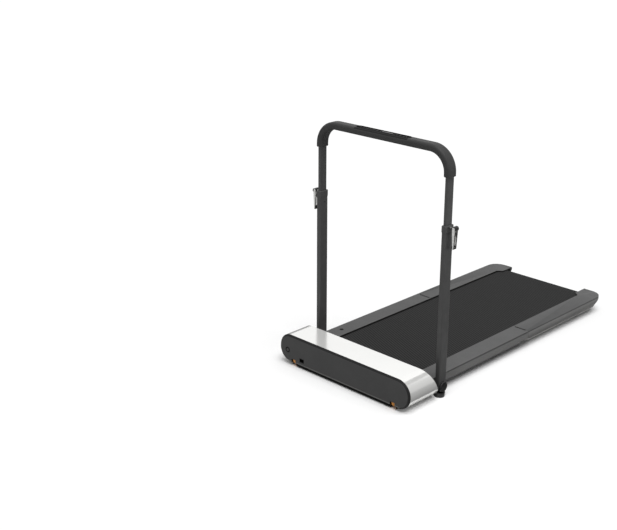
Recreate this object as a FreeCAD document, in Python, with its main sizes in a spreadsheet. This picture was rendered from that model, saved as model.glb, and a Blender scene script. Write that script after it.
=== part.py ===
import FreeCAD, Part
import math
import os
import Sketcher

# Folding walking pad with a fold-down, telescoping handrail.
# Frame: +X to the right, +Y to the rear, +Z up; origin on the floor under the middle of the part.

V = FreeCAD.Vector
doc = FreeCAD.newDocument("WalkingPad")

# Driving dimensions in millimetres. Depths along the pad are measured from the shell's front edge.
DIMENSIONS = {
    # overall lengths
    "front_half_length": 851.0, "rear_half_length": 620.0, "fold_gap": 0.6,
    # silver shell over the motor bay
    "shell_width": 720.0, "shell_height": 126.0, "shell_floor_gap": 10.0, "shell_wall": 3.0,
    "shell_top_depth": 127.0, "shell_bottom_depth": 190.0,
    # front panel
    "panel_proud": 9.0, "panel_bevel": 8.5, "panel_depth": 12.0, "panel_face": 4.0, "panel_rim": 12.0,
    "fit_gap": 0.3,
    # push button and mains inlet
    "button_inset": 50.0, "button_z": 66.0, "button_radius": 12.5, "button_gap": 0.5, "button_length": 9.0,
    "inlet_inset": 134.0, "inlet_z": 40.0, "inlet_width": 25.0, "inlet_height": 18.0, "inlet_length": 24.0,
    "inlet_wall": 1.6, "inlet_recess": 16.0, "inlet_pin_length": 9.0, "inlet_pin_width": 4.0,
    "inlet_pin_thickness": 2.0, "inlet_pin_pitch": 7.0,
    # slanted closure at the back of the shell
    "cover_thickness": 3.0, "cover_setback": 4.0, "cover_deck_gap": 3.5,
    # base pan below the motor bay
    "pan_inset": 22.0, "pan_start": -4.0, "pan_overhang": 52.0, "pan_floor_gap": 2.5, "pan_corner": 14.0,
    # transport wheels
    "wheel_inset": 85.0, "wheel_depth": 22.5, "wheel_radius": 27.0, "wheel_width": 20.0,
    "wheel_floor_gap": 1.0, "wheel_slot_width": 24.0, "wheel_slot_depth": 60.0, "wheel_notch_top": 31.0,
    "axle_radius": 4.0, "running_gap": 0.05, "cheek_thickness": 3.0, "cheek_start": 12.4,
    "cheek_end": 62.0, "cheek_top": 40.0, "cheek_gap": 1.0,
    # belt, rollers and deck boards
    "belt_top": 72.0, "belt_thickness": 2.0, "belt_side_gap": 5.0, "belt_gap": 0.3,
    "roller_radius": 25.7, "roller_side_gap": 2.0, "roller_wall": 3.0, "roller_hub": 20.0,
    "front_roller_depth": 115.0, "rear_roller_inset": 50.0, "shaft_radius": 8.0, "rear_axle_radius": 7.0,
    "board_thickness": 15.0, "board_side_step": 10.0, "board_start": 150.0, "rear_board_inset": 87.0,
    # steel side and cross members
    "member_side_gap": 1.0, "member_width": 38.0, "member_height": 28.0, "member_wall": 2.0,
    "member_start": 140.0, "rear_member_inset": 30.0, "cross_width": 30.0, "cross_height": 22.0,
    "front_cross_depth": 172.0, "fold_cross_inset": 30.0, "rear_cross_inset": 135.0,
    "block_length": 45.0, "block_rise": 8.0,
    # rails
    "rail_top": 77.5, "rail_bottom": 41.0, "rail_inset": 46.0, "rail_width": 81.0, "rail_plate": 4.0,
    "rail_lip": 3.0, "rail_start": 150.0, "skirt_wall": 14.0, "skirt_round": 5.0, "rail_edge_round": 1.2,
    "groove_low": 72.0, "groove_height": 3.6, "groove_inset": 3.0,
    "flare_step": 24.0, "flare_length": 98.0, "flare_run": 20.0, "end_corner_radius": 60.0,
    "end_wall": 18.0, "screw_inset": 37.0, "screw_depth": 288.0, "screw_radius": 4.6, "screw_recess": 2.4,
    # trays under both halves
    "tray_inset": 14.0, "tray_bottom": 9.0, "tray_wall": 8.0, "tray_floor": 3.0,
    "tray_rim": 23.0, "tray_ledge": 24.0, "tray_round": 30.0, "tray_corner": 50.0, "tray_gap": 2.0,
    "tray_fold_inset": 5.0, "tray_rear_inset": 7.0, "tray_rear_corner": 56.0, "window_inset": 100.0,
    "window_start": 78.0, "window_end": 484.0, "window_corner": 32.0, "notch_start": 540.0, "notch_gap": 2.0,
    "belt_slot_gap": 2.0, "adjuster_hole_radius": 4.5,
    "foot_inset": 50.0, "foot_radius": 13.0, "front_foot_inset": 52.0, "rear_foot_start": 52.0,
    "rear_foot_end": 560.0, "foot_crown": 1.5,
    # rear axle blocks and tension bolts
    "axle_block_width": 26.0, "axle_block_length": 30.0, "axle_travel": 10.0, "tension_drop": 9.0,
    "tension_bolt_radius": 3.0, "tension_bolt_length": 25.0,
    # fold hinges
    "hinge_rise": 0.3, "hinge_inset": 11.0, "hinge_length": 54.0, "knuckle_radius": 2.6, "pin_radius": 1.3,
    "leaf_thickness": 2.0, "leaf_bottom": 36.0, "knuckle_gap": 0.3, "knuckle_relief": 0.5,
    # motor bay
    "motor_depth": 46.0, "motor_z": 86.0, "motor_radius": 33.0, "motor_inset": 105.0, "motor_length": 150.0,
    "motor_bell": 12.0, "motor_bell_step": 2.0, "motor_shaft_radius": 6.0, "mount_width": 90.0,
    "mount_length": 44.0, "mount_wrap": 14.0,
    "drive_inset": 48.0, "drive_width": 12.0, "motor_pulley_radius": 12.0, "roller_pulley_radius": 24.0,
    "drive_belt_thickness": 2.5,
    "pcb_inset": 235.0, "pcb_length": 190.0, "pcb_depth": 24.0, "pcb_width": 52.0, "pcb_lift": 7.0,
    "pcb_thickness": 1.6, "sink_length": 80.0, "sink_height": 34.0, "capacitor_radius": 11.0,
    "capacitor_height": 36.0,
    # handrail base and pivot
    "upright_inset": 29.0, "pivot_setback": 28.0, "pivot_z": 43.0, "pivot_radius": 6.0, "eye_radius": 23.0,
    "base_cheek": 5.0, "base_top": 64.0, "base_arm_length": 40.0,
    "base_arm_height": 13.0, "base_foot_radius": 22.5, "base_foot_top": 18.5, "base_foot_advance": 4.0,
    "pad_height": 4.0, "pad_inset": 1.0, "stud_length": 27.0,
    "knob_radius": 23.0, "knob_thickness": 8.0, "knob_wall": 3.0, "knob_crown": 3.0,
    # handrail tubes
    "outer_tube_x": 22.0, "outer_tube_y": 46.0, "outer_tube_wall": 1.8, "outer_tube_round": 5.0,
    "outer_tube_start": 66.5, "outer_tube_top": 704.0, "plug_top": 112.0, "slide_gap": 0.2,
    "inner_tube_x": 15.0, "inner_tube_y": 37.0, "inner_tube_wall": 1.5, "inner_tube_round": 3.5,
    "inner_tube_start": 292.0, "glide_height": 24.0,
    # collars and quick-release levers
    "collar_bottom": 690.0, "collar_top": 716.0, "collar_wall": 1.6, "clamp_z": 709.0, "clamp_reach": 36.0,
    "clamp_bolt_radius": 4.0, "clamp_eye_radius": 5.5, "lever_head_radius": 7.0, "lever_length": 82.0,
    "lever_width": 20.0, "lever_thickness": 5.0, "lever_slot_width": 8.0, "lever_slot_length": 34.0,
    "lever_pin_radius": 2.5, "lever_fork_gap": 10.6,
    # grip bar
    "grip_bar_z": 1004.5, "grip_drop": 99.5, "grip_socket": 25.0, "grip_bend_radius": 86.0,
    "grip_thickness": 31.0, "grip_depth": 50.0, "grip_round": 12.0, "grip_end_round": 3.0,
    "insert_half_length": 137.0, "insert_width": 24.0, "insert_depth": 5.0, "insert_gap": 0.3,
    "insert_drop": 1.2, "lens_half_length": 28.0, "lens_width": 9.0, "lens_rise": 1.6, "lens_x": 20.0,
}

sheet = doc.addObject("Spreadsheet::Sheet", "Dims")
for row, (alias, number) in enumerate(DIMENSIONS.items(), start=1):
    sheet.set(f"A{row}", alias)
    sheet.set(f"B{row}", str(number))
    sheet.setAlias(f"B{row}", alias)
doc.recompute()

# Places worked out from the driving dimensions
HALF_LENGTH = "((Dims.panel_proud + Dims.front_half_length + Dims.rear_half_length) / 2)"
FRONT = f"(Dims.panel_proud - {HALF_LENGTH})"
FOLD = f"({FRONT} + Dims.front_half_length)"
REAR = HALF_LENGTH
HALF_WIDTH = "(Dims.shell_width / 2)"
WHEEL_X = f"({HALF_WIDTH} - Dims.wheel_inset)"
UPRIGHT_X = f"({HALF_WIDTH} - Dims.upright_inset)"
RAIL_OUTER = f"({HALF_WIDTH} - Dims.rail_inset)"
RAIL_INNER = f"({RAIL_OUTER} - Dims.rail_width)"
FLARE_INNER = f"({RAIL_INNER} - Dims.flare_step)"
SCREW_X = f"({RAIL_OUTER} - Dims.screw_inset)"
BELT_HALF = f"({RAIL_INNER} - Dims.belt_side_gap)"
ROLLER_HALF = f"({RAIL_INNER} - Dims.roller_side_gap)"
MEMBER_INNER = f"({RAIL_INNER} + Dims.member_side_gap)"
MEMBER_OUTER = f"({MEMBER_INNER} + Dims.member_width)"
BOARD_HALF = f"({MEMBER_OUTER} - Dims.board_side_step)"
HINGE_START = f"({RAIL_INNER} + Dims.hinge_inset)"
TRAY_HALF = f"({RAIL_OUTER} - Dims.tray_inset)"
WINDOW_HALF = f"({TRAY_HALF} - Dims.window_inset)"
FOOT_X = f"({TRAY_HALF} - Dims.foot_inset)"
PAN_HALF = f"({RAIL_OUTER} - Dims.pan_inset)"
BUTTON_X = f"(Dims.button_inset - {HALF_WIDTH})"
INLET_X = f"(Dims.inlet_inset - {HALF_WIDTH})"
MOTOR_START = f"(Dims.motor_inset - {HALF_WIDTH})"
DRIVE_X = f"(Dims.drive_inset - {HALF_WIDTH})"
PCB_START = f"({WHEEL_X} - Dims.pcb_inset)"
FRONT_END = f"({FOLD} - Dims.fold_gap)"
REAR_START = f"({FOLD} + Dims.fold_gap)"
SHELL_R = "(Dims.shell_height / 2)"
SHELL_STRAIGHT = "(Dims.shell_width / 2 - Dims.shell_height / 2)"
SHELL_Z = "(Dims.shell_floor_gap + Dims.shell_height / 2)"
SHELL_TOP = "(Dims.shell_floor_gap + Dims.shell_height)"
SHELL_FLOOR = "(Dims.shell_floor_gap + Dims.shell_wall)"
PANEL_FACE = f"({FRONT} - Dims.panel_proud)"
PANEL_R = "(Dims.shell_height / 2 - Dims.shell_wall - Dims.fit_gap)"
BELT_INNER_R = "(Dims.roller_radius + Dims.belt_gap)"
BELT_R = "(Dims.roller_radius + Dims.belt_gap + Dims.belt_thickness)"
ROLLER_Z = f"(Dims.belt_top - {BELT_R})"
FRONT_ROLLER_Y = f"({FRONT} + Dims.front_roller_depth)"
REAR_ROLLER_Y = f"({REAR} - Dims.rear_roller_inset)"
BOARD_TOP = "(Dims.belt_top - Dims.belt_thickness - Dims.belt_gap)"
BOARD_BOTTOM = f"({BOARD_TOP} - Dims.board_thickness)"
MEMBER_BOTTOM = f"({BOARD_BOTTOM} - Dims.member_height)"
LEAF_FRONT = f"({FRONT_END} - Dims.leaf_thickness)"
LEAF_REAR = f"({REAR_START} + Dims.leaf_thickness)"
HINGE_Z = "(Dims.rail_top + Dims.hinge_rise)"
TRAY_TOP = "(Dims.rail_bottom - Dims.fit_gap)"
REAR_MEMBER_END = f"({REAR} - Dims.rear_member_inset)"
BLOCK_INNER = f"({MEMBER_INNER} + Dims.member_wall + Dims.fit_gap)"
TENSION_Z = f"({ROLLER_Z} - Dims.tension_drop)"
PIVOT_Y = f"({FRONT} + Dims.shell_bottom_depth + Dims.pivot_setback)"
PAN_END = f"({FRONT} + Dims.shell_bottom_depth + Dims.pan_overhang)"
TRAY_START = f"({PAN_END} + Dims.tray_gap)"
WHEEL_Y = f"({FRONT} + Dims.wheel_depth)"
WHEEL_Z = "(Dims.wheel_radius + Dims.wheel_floor_gap)"
MOTOR_Y = f"({FRONT} + Dims.motor_depth)"
EYE_INNER = f"({UPRIGHT_X} - Dims.outer_tube_x / 2)"
BASE_OUTER = f"({EYE_INNER} - Dims.fit_gap)"
KNOB_START = f"({UPRIGHT_X} + Dims.outer_tube_x / 2 + Dims.fit_gap)"
LEVER_X = f"({UPRIGHT_X} + Dims.clamp_reach)"
GRIP_TOP = "(Dims.grip_bar_z + Dims.grip_thickness / 2)"
GRIP_BOTTOM = "(Dims.grip_bar_z - Dims.grip_drop)"
INNER_TUBE_TOP = f"({GRIP_BOTTOM} + Dims.grip_socket)"

NODES = []


def val(text):
    """Number that an expression on the sheet gives."""
    return float(sheet.evalExpression(str(text)))


def keep(obj, label):
    """Name an object as a sub-part of the pad."""
    obj.Label = label
    NODES.append(obj)
    return obj


def new_body(name):
    return doc.addObject("PartDesign::Body", name)


def sketch(body, role, across="0", up="0", along="0"):
    """Sketch on one of the body's origin planes, moved by its own axes."""
    sk = body.newObject("Sketcher::SketchObject", body.Name + "_sketch")
    plane = next(f for f in body.Origin.OriginFeatures if f.Role == role)
    sk.AttachmentSupport = [(plane, "")]
    sk.MapMode = "FlatFace"
    for axis, text in (("x", across), ("y", up), ("z", along)):
        sk.setExpression(f"AttachmentOffset.Base.{axis}", text)
    return sk


def pin(sk, geo, point, x, y):
    """Tie a point of the sketch to two expressions."""
    for kind, text in (("DistanceX", x), ("DistanceY", y)):
        index = sk.addConstraint(Sketcher.Constraint(kind, -1, 1, geo, point, val(text)))
        sk.setExpression(f"Constraints[{index}]", text)


def set_radius(sk, geo, text):
    index = sk.addConstraint(Sketcher.Constraint("Radius", geo, val(text)))
    sk.setExpression(f"Constraints[{index}]", text)


def polygon(sk, points):
    first = sk.GeometryCount
    spots = [V(val(x), val(y), 0) for x, y in points]
    count = len(points)
    for i in range(count):
        sk.addGeometry(Part.LineSegment(spots[i], spots[(i + 1) % count]))
    for i in range(count):
        sk.addConstraint(Sketcher.Constraint("Coincident", first + i, 2, first + (i + 1) % count, 1))
    for i, (x, y) in enumerate(points):
        pin(sk, first + i, 1, x, y)


def rectangle(sk, x0, x1, y0, y1):
    polygon(sk, [(x0, y0), (x1, y0), (x1, y1), (x0, y1)])


def circle(sk, x, y, radius):
    geo = sk.addGeometry(Part.Circle(V(val(x), val(y), 0), V(0, 0, 1), val(radius)))
    pin(sk, geo, 3, x, y)
    set_radius(sk, geo, radius)


def loop(sk, centres, radii):
    """Closed line drawn round two or more circles, as a belt runs round pulleys, anticlockwise."""
    spots = [V(val(x), val(y), 0) for x, y in centres]
    sizes = [val(r) for r in radii]
    count = len(spots)
    ends = []
    for i in range(count):
        j = (i + 1) % count
        run = spots[j] - spots[i]
        turn = math.acos((sizes[i] - sizes[j]) / run.Length)
        heading = math.atan2(run.y, run.x) - turn
        ends.append(heading)
    arcs = []
    lines = []
    for i in range(count):
        start = ends[i - 1]
        stop = ends[i]
        while stop <= start:
            stop += 2 * math.pi
        ring = Part.Circle(spots[i], V(0, 0, 1), sizes[i])
        arcs.append(sk.addGeometry(Part.ArcOfCircle(ring, start, stop)))
    for i in range(count):
        j = (i + 1) % count
        out = V(math.cos(ends[i]), math.sin(ends[i]), 0)
        lines.append(sk.addGeometry(Part.LineSegment(spots[i] + out * sizes[i], spots[j] + out * sizes[j])))
    for i in range(count):
        sk.addConstraint(Sketcher.Constraint("Tangent", arcs[i], 2, lines[i], 1))
        sk.addConstraint(Sketcher.Constraint("Tangent", lines[i], 2, arcs[(i + 1) % count], 1))
        pin(sk, arcs[i], 3, *centres[i])
        set_radius(sk, arcs[i], radii[i])


def stadium(sk, half_straight, up, radius):
    loop(sk, [(f"-({half_straight})", up), (half_straight, up)], [radius, radius])


def rounded_rectangle(sk, x0, x1, y0, y1, radius):
    xs = (f"({x0} + {radius})", f"({x1} - {radius})")
    ys = (f"({y0} + {radius})", f"({y1} - {radius})")
    loop(sk, [(xs[0], ys[0]), (xs[1], ys[0]), (xs[1], ys[1]), (xs[0], ys[1])], [radius] * 4)


def pad(body, sk, length, reverse=False, symmetric=False):
    feature = body.newObject("PartDesign::Pad", body.Name + "_pad")
    feature.Profile = sk
    feature.setExpression("Length", length)
    feature.Reversed = reverse
    if symmetric:
        feature.SideType = "Symmetric"
    doc.recompute()
    return feature


def pocket(body, sk, length=None, reverse=False):
    """Cut a sketch into the body: by a length, or through all of it both ways."""
    before = body.Shape.Volume
    feature = body.newObject("PartDesign::Pocket", body.Name + "_pocket")
    feature.Profile = sk
    feature.Reversed = reverse
    if length is None:
        feature.SideType = "Symmetric"
        feature.Type = "ThroughAll"
    else:
        feature.setExpression("Length", length)
    doc.recompute()
    if body.Shape.Volume >= before:
        raise RuntimeError(f"a cut in {body.Name} took nothing away")
    return feature


def edge_names(feature, test):
    return [f"Edge{i}" for i, edge in enumerate(feature.Shape.Edges, start=1) if test(edge)]


def round_edges(body, feature, test, radius, kind="Fillet"):
    """Fillet or chamfer the edges that pass a test."""
    names = edge_names(feature, test)
    if not names:
        raise RuntimeError(f"no edge to round on {body.Name}")
    result = body.newObject(f"PartDesign::{kind}", body.Name + "_" + kind.lower())
    result.Base = (feature, names)
    result.setExpression("Radius" if kind == "Fillet" else "Size", radius)
    doc.recompute()
    return result


def flat_at(edge, axis, place):
    """True where the whole edge lies at one place along an axis."""
    box = edge.BoundBox
    low, high = {"x": (box.XMin, box.XMax), "y": (box.YMin, box.YMax), "z": (box.ZMin, box.ZMax)}[axis]
    return abs(low - place) < 0.01 and abs(high - place) < 0.01


def box(x0, y0, z0, length, width, height):
    obj = doc.addObject("Part::Box", "Block")
    for prop, text in (("Length", length), ("Width", width), ("Height", height)):
        obj.setExpression(prop, text)
    for axis, text in (("x", x0), ("y", y0), ("z", z0)):
        obj.setExpression(f"Placement.Base.{axis}", text)
    return obj


AXIS_TURNS = {"x": FreeCAD.Rotation(V(0, 1, 0), 90), "y": FreeCAD.Rotation(V(1, 0, 0), -90),
              "z": FreeCAD.Rotation()}


def cylinder(axis, x, y, z, radius, length):
    obj = doc.addObject("Part::Cylinder", "Round")
    obj.Placement = FreeCAD.Placement(V(0, 0, 0), AXIS_TURNS[axis])
    obj.setExpression("Radius", radius)
    obj.setExpression("Height", length)
    for name, text in (("x", x), ("y", y), ("z", z)):
        obj.setExpression(f"Placement.Base.{name}", text)
    return obj


def cut(base, *tools):
    result = base
    for tool in tools:
        step = doc.addObject("Part::Cut", "Cut")
        step.Base = result
        step.Tool = tool
        result = step
    return result


def fuse(*shapes):
    result = doc.addObject("Part::MultiFuse", "Fuse")
    result.Shapes = list(shapes)
    return result


def mirrored(source):
    """Copy of an object on the other side of the pad's middle plane."""
    copy = doc.addObject("Part::Mirroring", "Mirror")
    copy.Source = source
    copy.Normal = V(1, 0, 0)
    return copy


def group(*members):
    result = doc.addObject("Part::Compound", "Group")
    result.Links = list(members)
    return result


def turned_x(name, y, z, *profiles):
    """Body of revolution about an X line; each profile gives x and radius."""
    body = new_body(name)
    sk = sketch(body, "XZ_Plane", up=z, along=f"-({y})")
    for profile in profiles:
        polygon(sk, profile)
    spin = body.newObject("PartDesign::Revolution", name + "_turn")
    spin.Profile = sk
    spin.ReferenceAxis = (sk, ["H_Axis"])
    spin.Angle = 360
    doc.recompute()
    return body


def turned_z(name, x, y, profile):
    """Body of revolution about a Z line; the profile gives radius and z."""
    body = new_body(name)
    sk = sketch(body, "XZ_Plane", across=x, along=f"-({y})")
    polygon(sk, profile)
    spin = body.newObject("PartDesign::Revolution", name + "_turn")
    spin.Profile = sk
    spin.ReferenceAxis = (sk, ["V_Axis"])
    spin.Angle = 360
    doc.recompute()
    return body


def both_sides(source, label):
    """Right-hand piece and its left-hand twin, as two sub-parts."""
    keep(source, label + "_right")
    keep(mirrored(source), label + "_left")


def wheel_slots(sk, y0, y1):
    """Two rectangles, one over each transport wheel."""
    for side in ("", "-"):
        middle = f"{side}{WHEEL_X}"
        half = "Dims.wheel_slot_width / 2"
        rectangle(sk, f"{middle} - {half}", f"{middle} + {half}", y0, y1)


def make_shell():
    body = new_body("HousingShell")
    sk = sketch(body, "XZ_Plane", along=f"-({FRONT})")
    stadium(sk, SHELL_STRAIGHT, SHELL_Z, SHELL_R)
    stadium(sk, SHELL_STRAIGHT, SHELL_Z, f"({SHELL_R} - Dims.shell_wall)")
    pad(body, sk, "Dims.shell_bottom_depth", reverse=True)
    slant = sketch(body, "YZ_Plane")
    top = f"({FRONT} + Dims.shell_top_depth)"
    bottom = f"({FRONT} + Dims.shell_bottom_depth)"
    polygon(slant, [(top, SHELL_TOP), (bottom, "Dims.shell_floor_gap"), (bottom, f"{SHELL_TOP} + 1"),
                    (top, f"{SHELL_TOP} + 1")])
    pocket(body, slant)
    slots = sketch(body, "XY_Plane")
    wheel_slots(slots, f"{FRONT} - 1", f"{FRONT} + Dims.wheel_slot_depth")
    pocket(body, slots, f"{SHELL_FLOOR} + 1", reverse=True)
    keep(body, "housing_shell")


def make_panel():
    body = new_body("FrontPanel")
    back = f"({FRONT} + Dims.panel_depth)"
    flange = sketch(body, "XZ_Plane", along=f"-({FRONT})")
    stadium(flange, SHELL_STRAIGHT, SHELL_Z, SHELL_R)
    plate = pad(body, flange, "Dims.panel_proud")
    face = val(PANEL_FACE)
    round_edges(body, plate, lambda e: flat_at(e, "y", face), "Dims.panel_bevel", "Chamfer")
    spigot = sketch(body, "XZ_Plane", along=f"-({back})")
    stadium(spigot, SHELL_STRAIGHT, SHELL_Z, PANEL_R)
    pad(body, spigot, "Dims.panel_depth")
    hollow = sketch(body, "XZ_Plane", along=f"-({back})")
    stadium(hollow, SHELL_STRAIGHT, SHELL_Z, f"({PANEL_R} - Dims.panel_rim)")
    pocket(body, hollow, "Dims.panel_depth + Dims.panel_proud - Dims.panel_face", reverse=True)
    holes = sketch(body, "XZ_Plane")
    circle(holes, BUTTON_X, "Dims.button_z", "Dims.button_radius + Dims.button_gap")
    rectangle(holes, f"{INLET_X} - Dims.inlet_width / 2 - Dims.fit_gap",
              f"{INLET_X} + Dims.inlet_width / 2 + Dims.fit_gap",
              "Dims.inlet_z - Dims.inlet_height / 2 - Dims.fit_gap",
              "Dims.inlet_z + Dims.inlet_height / 2 + Dims.fit_gap")
    pocket(body, holes)
    notch = sketch(body, "XY_Plane")
    wheel_slots(notch, f"{PANEL_FACE} - 1", f"{back} + 1")
    pocket(body, notch, "Dims.wheel_notch_top", reverse=True)
    keep(body, "front_panel")


def make_button():
    body = new_body("PowerButton")
    sk = sketch(body, "XZ_Plane", along=f"-({PANEL_FACE} + Dims.button_length)")
    circle(sk, BUTTON_X, "Dims.button_z", "Dims.button_radius")
    disc = pad(body, sk, "Dims.button_length")
    face = val(PANEL_FACE)
    round_edges(body, disc, lambda e: flat_at(e, "y", face), "Dims.button_gap", "Chamfer")
    keep(body, "power_button")


def make_inlet():
    body = new_body("PowerInlet")
    left = f"({INLET_X} - Dims.inlet_width / 2)"
    right = f"({INLET_X} + Dims.inlet_width / 2)"
    low = "(Dims.inlet_z - Dims.inlet_height / 2)"
    high = "(Dims.inlet_z + Dims.inlet_height / 2)"
    block = sketch(body, "XZ_Plane", along=f"-({PANEL_FACE} + Dims.inlet_length)")
    rectangle(block, left, right, low, high)
    pad(body, block, "Dims.inlet_length")
    recess = sketch(body, "XZ_Plane", along=f"-({PANEL_FACE})")
    rectangle(recess, f"{left} + Dims.inlet_wall", f"{right} - Dims.inlet_wall",
              f"{low} + Dims.inlet_wall", f"{high} - Dims.inlet_wall")
    pocket(body, recess, "Dims.inlet_recess")
    pins = sketch(body, "XZ_Plane", along=f"-({PANEL_FACE} + Dims.inlet_recess)")
    for step, lift in ((-1, 0), (0, 1), (1, 0)):
        x = f"({INLET_X} + {step} * Dims.inlet_pin_pitch)"
        z = f"(Dims.inlet_z - Dims.inlet_pin_width / 2 + {lift} * Dims.inlet_pin_width / 2)"
        rectangle(pins, f"{x} - Dims.inlet_pin_thickness / 2", f"{x} + Dims.inlet_pin_thickness / 2",
                  f"{z} - Dims.inlet_pin_width / 2", f"{z} + Dims.inlet_pin_width / 2")
    pad(body, pins, "Dims.inlet_pin_length")
    keep(body, "power_inlet")


def make_rear_cover():
    body = new_body("HousingRearCover")
    lean = "((Dims.shell_bottom_depth - Dims.shell_top_depth) / Dims.shell_height)"
    outer_top = f"({FRONT} + Dims.shell_top_depth - Dims.cover_setback)"
    outer_low = f"({FRONT} + Dims.shell_bottom_depth - Dims.cover_setback)"
    sk = sketch(body, "YZ_Plane")
    polygon(sk, [(outer_top, SHELL_TOP), (f"{outer_top} - Dims.cover_thickness", SHELL_TOP),
                 (f"{outer_low} - Dims.cover_thickness - {lean} * Dims.shell_wall", SHELL_FLOOR),
                 (f"{outer_low} - {lean} * Dims.shell_wall", SHELL_FLOOR)])
    pad(body, sk, "Dims.shell_width", symmetric=True)
    trim = sketch(body, "XZ_Plane")
    rectangle(trim, "-Dims.shell_width", "Dims.shell_width", "-Dims.shell_height", "Dims.shell_height * 2")
    stadium(trim, SHELL_STRAIGHT, SHELL_Z, PANEL_R)
    pocket(body, trim)
    door = sketch(body, "XZ_Plane")
    side = f"({RAIL_OUTER} + Dims.cover_deck_gap)"
    rectangle(door, f"-{side}", side, "0", "Dims.rail_top + Dims.cover_deck_gap")
    pocket(body, door)
    keep(body, "housing_rear_cover")


def make_base_pan():
    body = new_body("BasePan")
    sk = sketch(body, "XY_Plane", along="Dims.pan_floor_gap")
    rounded_rectangle(sk, f"-{PAN_HALF}", PAN_HALF, f"({FRONT} + Dims.pan_start)",
                      PAN_END, "Dims.pan_corner")
    plate = pad(body, sk, "Dims.shell_floor_gap - Dims.pan_floor_gap")
    floor = val("Dims.pan_floor_gap")
    round_edges(body, plate, lambda e: flat_at(e, "z", floor), "Dims.pan_floor_gap", "Chamfer")
    slots = sketch(body, "XY_Plane")
    wheel_slots(slots, PANEL_FACE, f"{FRONT} + Dims.wheel_slot_depth")
    pocket(body, slots)
    keep(body, "base_pan")


def make_wheels():
    half = "(Dims.wheel_width / 2)"
    bore = "(Dims.axle_radius + Dims.running_gap)"
    step = "(Dims.wheel_width / 6)"
    wheel = turned_x("Wheel", WHEEL_Y, WHEEL_Z, [
        (f"{WHEEL_X} - {half}", bore), (f"{WHEEL_X} + {half}", bore),
        (f"{WHEEL_X} + {half}", f"Dims.wheel_radius - {step}"),
        (f"{WHEEL_X} + {half} - {step}", "Dims.wheel_radius"),
        (f"{WHEEL_X} - {half} + {step}", "Dims.wheel_radius"),
        (f"{WHEEL_X} - {half}", f"Dims.wheel_radius - {step}")])
    both_sides(wheel, "wheel")
    gap = "(Dims.wheel_slot_width / 2 + Dims.cheek_gap)"
    reach = f"({gap} + Dims.cheek_thickness)"
    axle = cylinder("x", f"{WHEEL_X} - {reach}", WHEEL_Y, WHEEL_Z, "Dims.axle_radius", f"2 * {reach}")
    keep(group(axle, mirrored(axle)), "wheel_axles")
    bracket = new_body("WheelBracket")
    sk = sketch(bracket, "XY_Plane", along=SHELL_FLOOR)
    start = f"({FRONT} + Dims.cheek_start)"
    end = f"({FRONT} + Dims.cheek_end)"
    inner = f"({end} - Dims.cheek_thickness)"
    polygon(sk, [(f"{WHEEL_X} - {reach}", start), (f"{WHEEL_X} - {gap}", start),
                 (f"{WHEEL_X} - {gap}", inner), (f"{WHEEL_X} + {gap}", inner),
                 (f"{WHEEL_X} + {gap}", start), (f"{WHEEL_X} + {reach}", start),
                 (f"{WHEEL_X} + {reach}", end), (f"{WHEEL_X} - {reach}", end)])
    pad(bracket, sk, f"Dims.cheek_top - {SHELL_FLOOR}")
    hole = sketch(bracket, "YZ_Plane")
    circle(hole, WHEEL_Y, WHEEL_Z, bore)
    pocket(bracket, hole)
    keep(group(bracket, mirrored(bracket)), "wheel_brackets")


def make_members():
    """Steel box sections along both sides of each half, and across it."""
    def side_member(name, start, end):
        body = new_body(name)
        sk = sketch(body, "XZ_Plane", along=f"-({start})")
        rectangle(sk, MEMBER_INNER, MEMBER_OUTER, MEMBER_BOTTOM, BOARD_BOTTOM)
        rectangle(sk, f"{MEMBER_INNER} + Dims.member_wall", f"{MEMBER_OUTER} - Dims.member_wall",
                  f"{MEMBER_BOTTOM} + Dims.member_wall", f"{BOARD_BOTTOM} - Dims.member_wall")
        pad(body, sk, f"{end} - {start}", reverse=True)
        return body

    def cross_member(name, start):
        body = new_body(name)
        low = f"({BOARD_BOTTOM} - Dims.cross_height)"
        sk = sketch(body, "YZ_Plane")
        rectangle(sk, start, f"{start} + Dims.cross_width", low, BOARD_BOTTOM)
        rectangle(sk, f"{start} + Dims.member_wall", f"{start} + Dims.cross_width - Dims.member_wall",
                  f"{low} + Dims.member_wall", f"{BOARD_BOTTOM} - Dims.member_wall")
        pad(body, sk, f"2 * {MEMBER_INNER}", symmetric=True)
        return body

    front = side_member("FrontMember", f"({FRONT} + Dims.member_start)", LEAF_FRONT)
    keep(group(front, mirrored(front)), "front_side_members")
    rear = side_member("RearMember", LEAF_REAR, REAR_MEMBER_END)
    slot = sketch(rear, "YZ_Plane", along=f"{MEMBER_INNER} + Dims.member_wall + 1")
    half = "(Dims.rear_axle_radius + Dims.fit_gap)"
    rectangle(slot, f"{REAR_ROLLER_Y} - {half} - Dims.axle_travel", f"{REAR_MEMBER_END} + 1",
              f"{ROLLER_Z} - {half}", f"{ROLLER_Z} + {half}")
    pocket(rear, slot, "Dims.member_wall + 2")
    keep(group(rear, mirrored(rear)), "rear_side_members")
    keep(group(cross_member("MotorCross", f"({FRONT} + Dims.front_cross_depth)"),
               cross_member("FrontFoldCross", f"({FOLD} - Dims.fold_cross_inset - Dims.cross_width)")),
         "front_cross_members")
    keep(group(cross_member("RearFoldCross", f"({FOLD} + Dims.fold_cross_inset)"),
               cross_member("RearCross", f"({REAR} - Dims.rear_cross_inset - Dims.cross_width)")),
         "rear_cross_members")


def make_boards():
    half = BOARD_HALF
    front_start = f"({FRONT} + Dims.board_start)"
    keep(box(f"-{half}", front_start, BOARD_BOTTOM, f"2 * {half}", f"{LEAF_FRONT} - {front_start}",
             "Dims.board_thickness"), "front_deck_board")
    rear_end = f"({REAR} - Dims.rear_board_inset)"
    keep(box(f"-{half}", LEAF_REAR, BOARD_BOTTOM, f"2 * {half}", f"{rear_end} - {LEAF_REAR}",
             "Dims.board_thickness"), "rear_deck_board")


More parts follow.
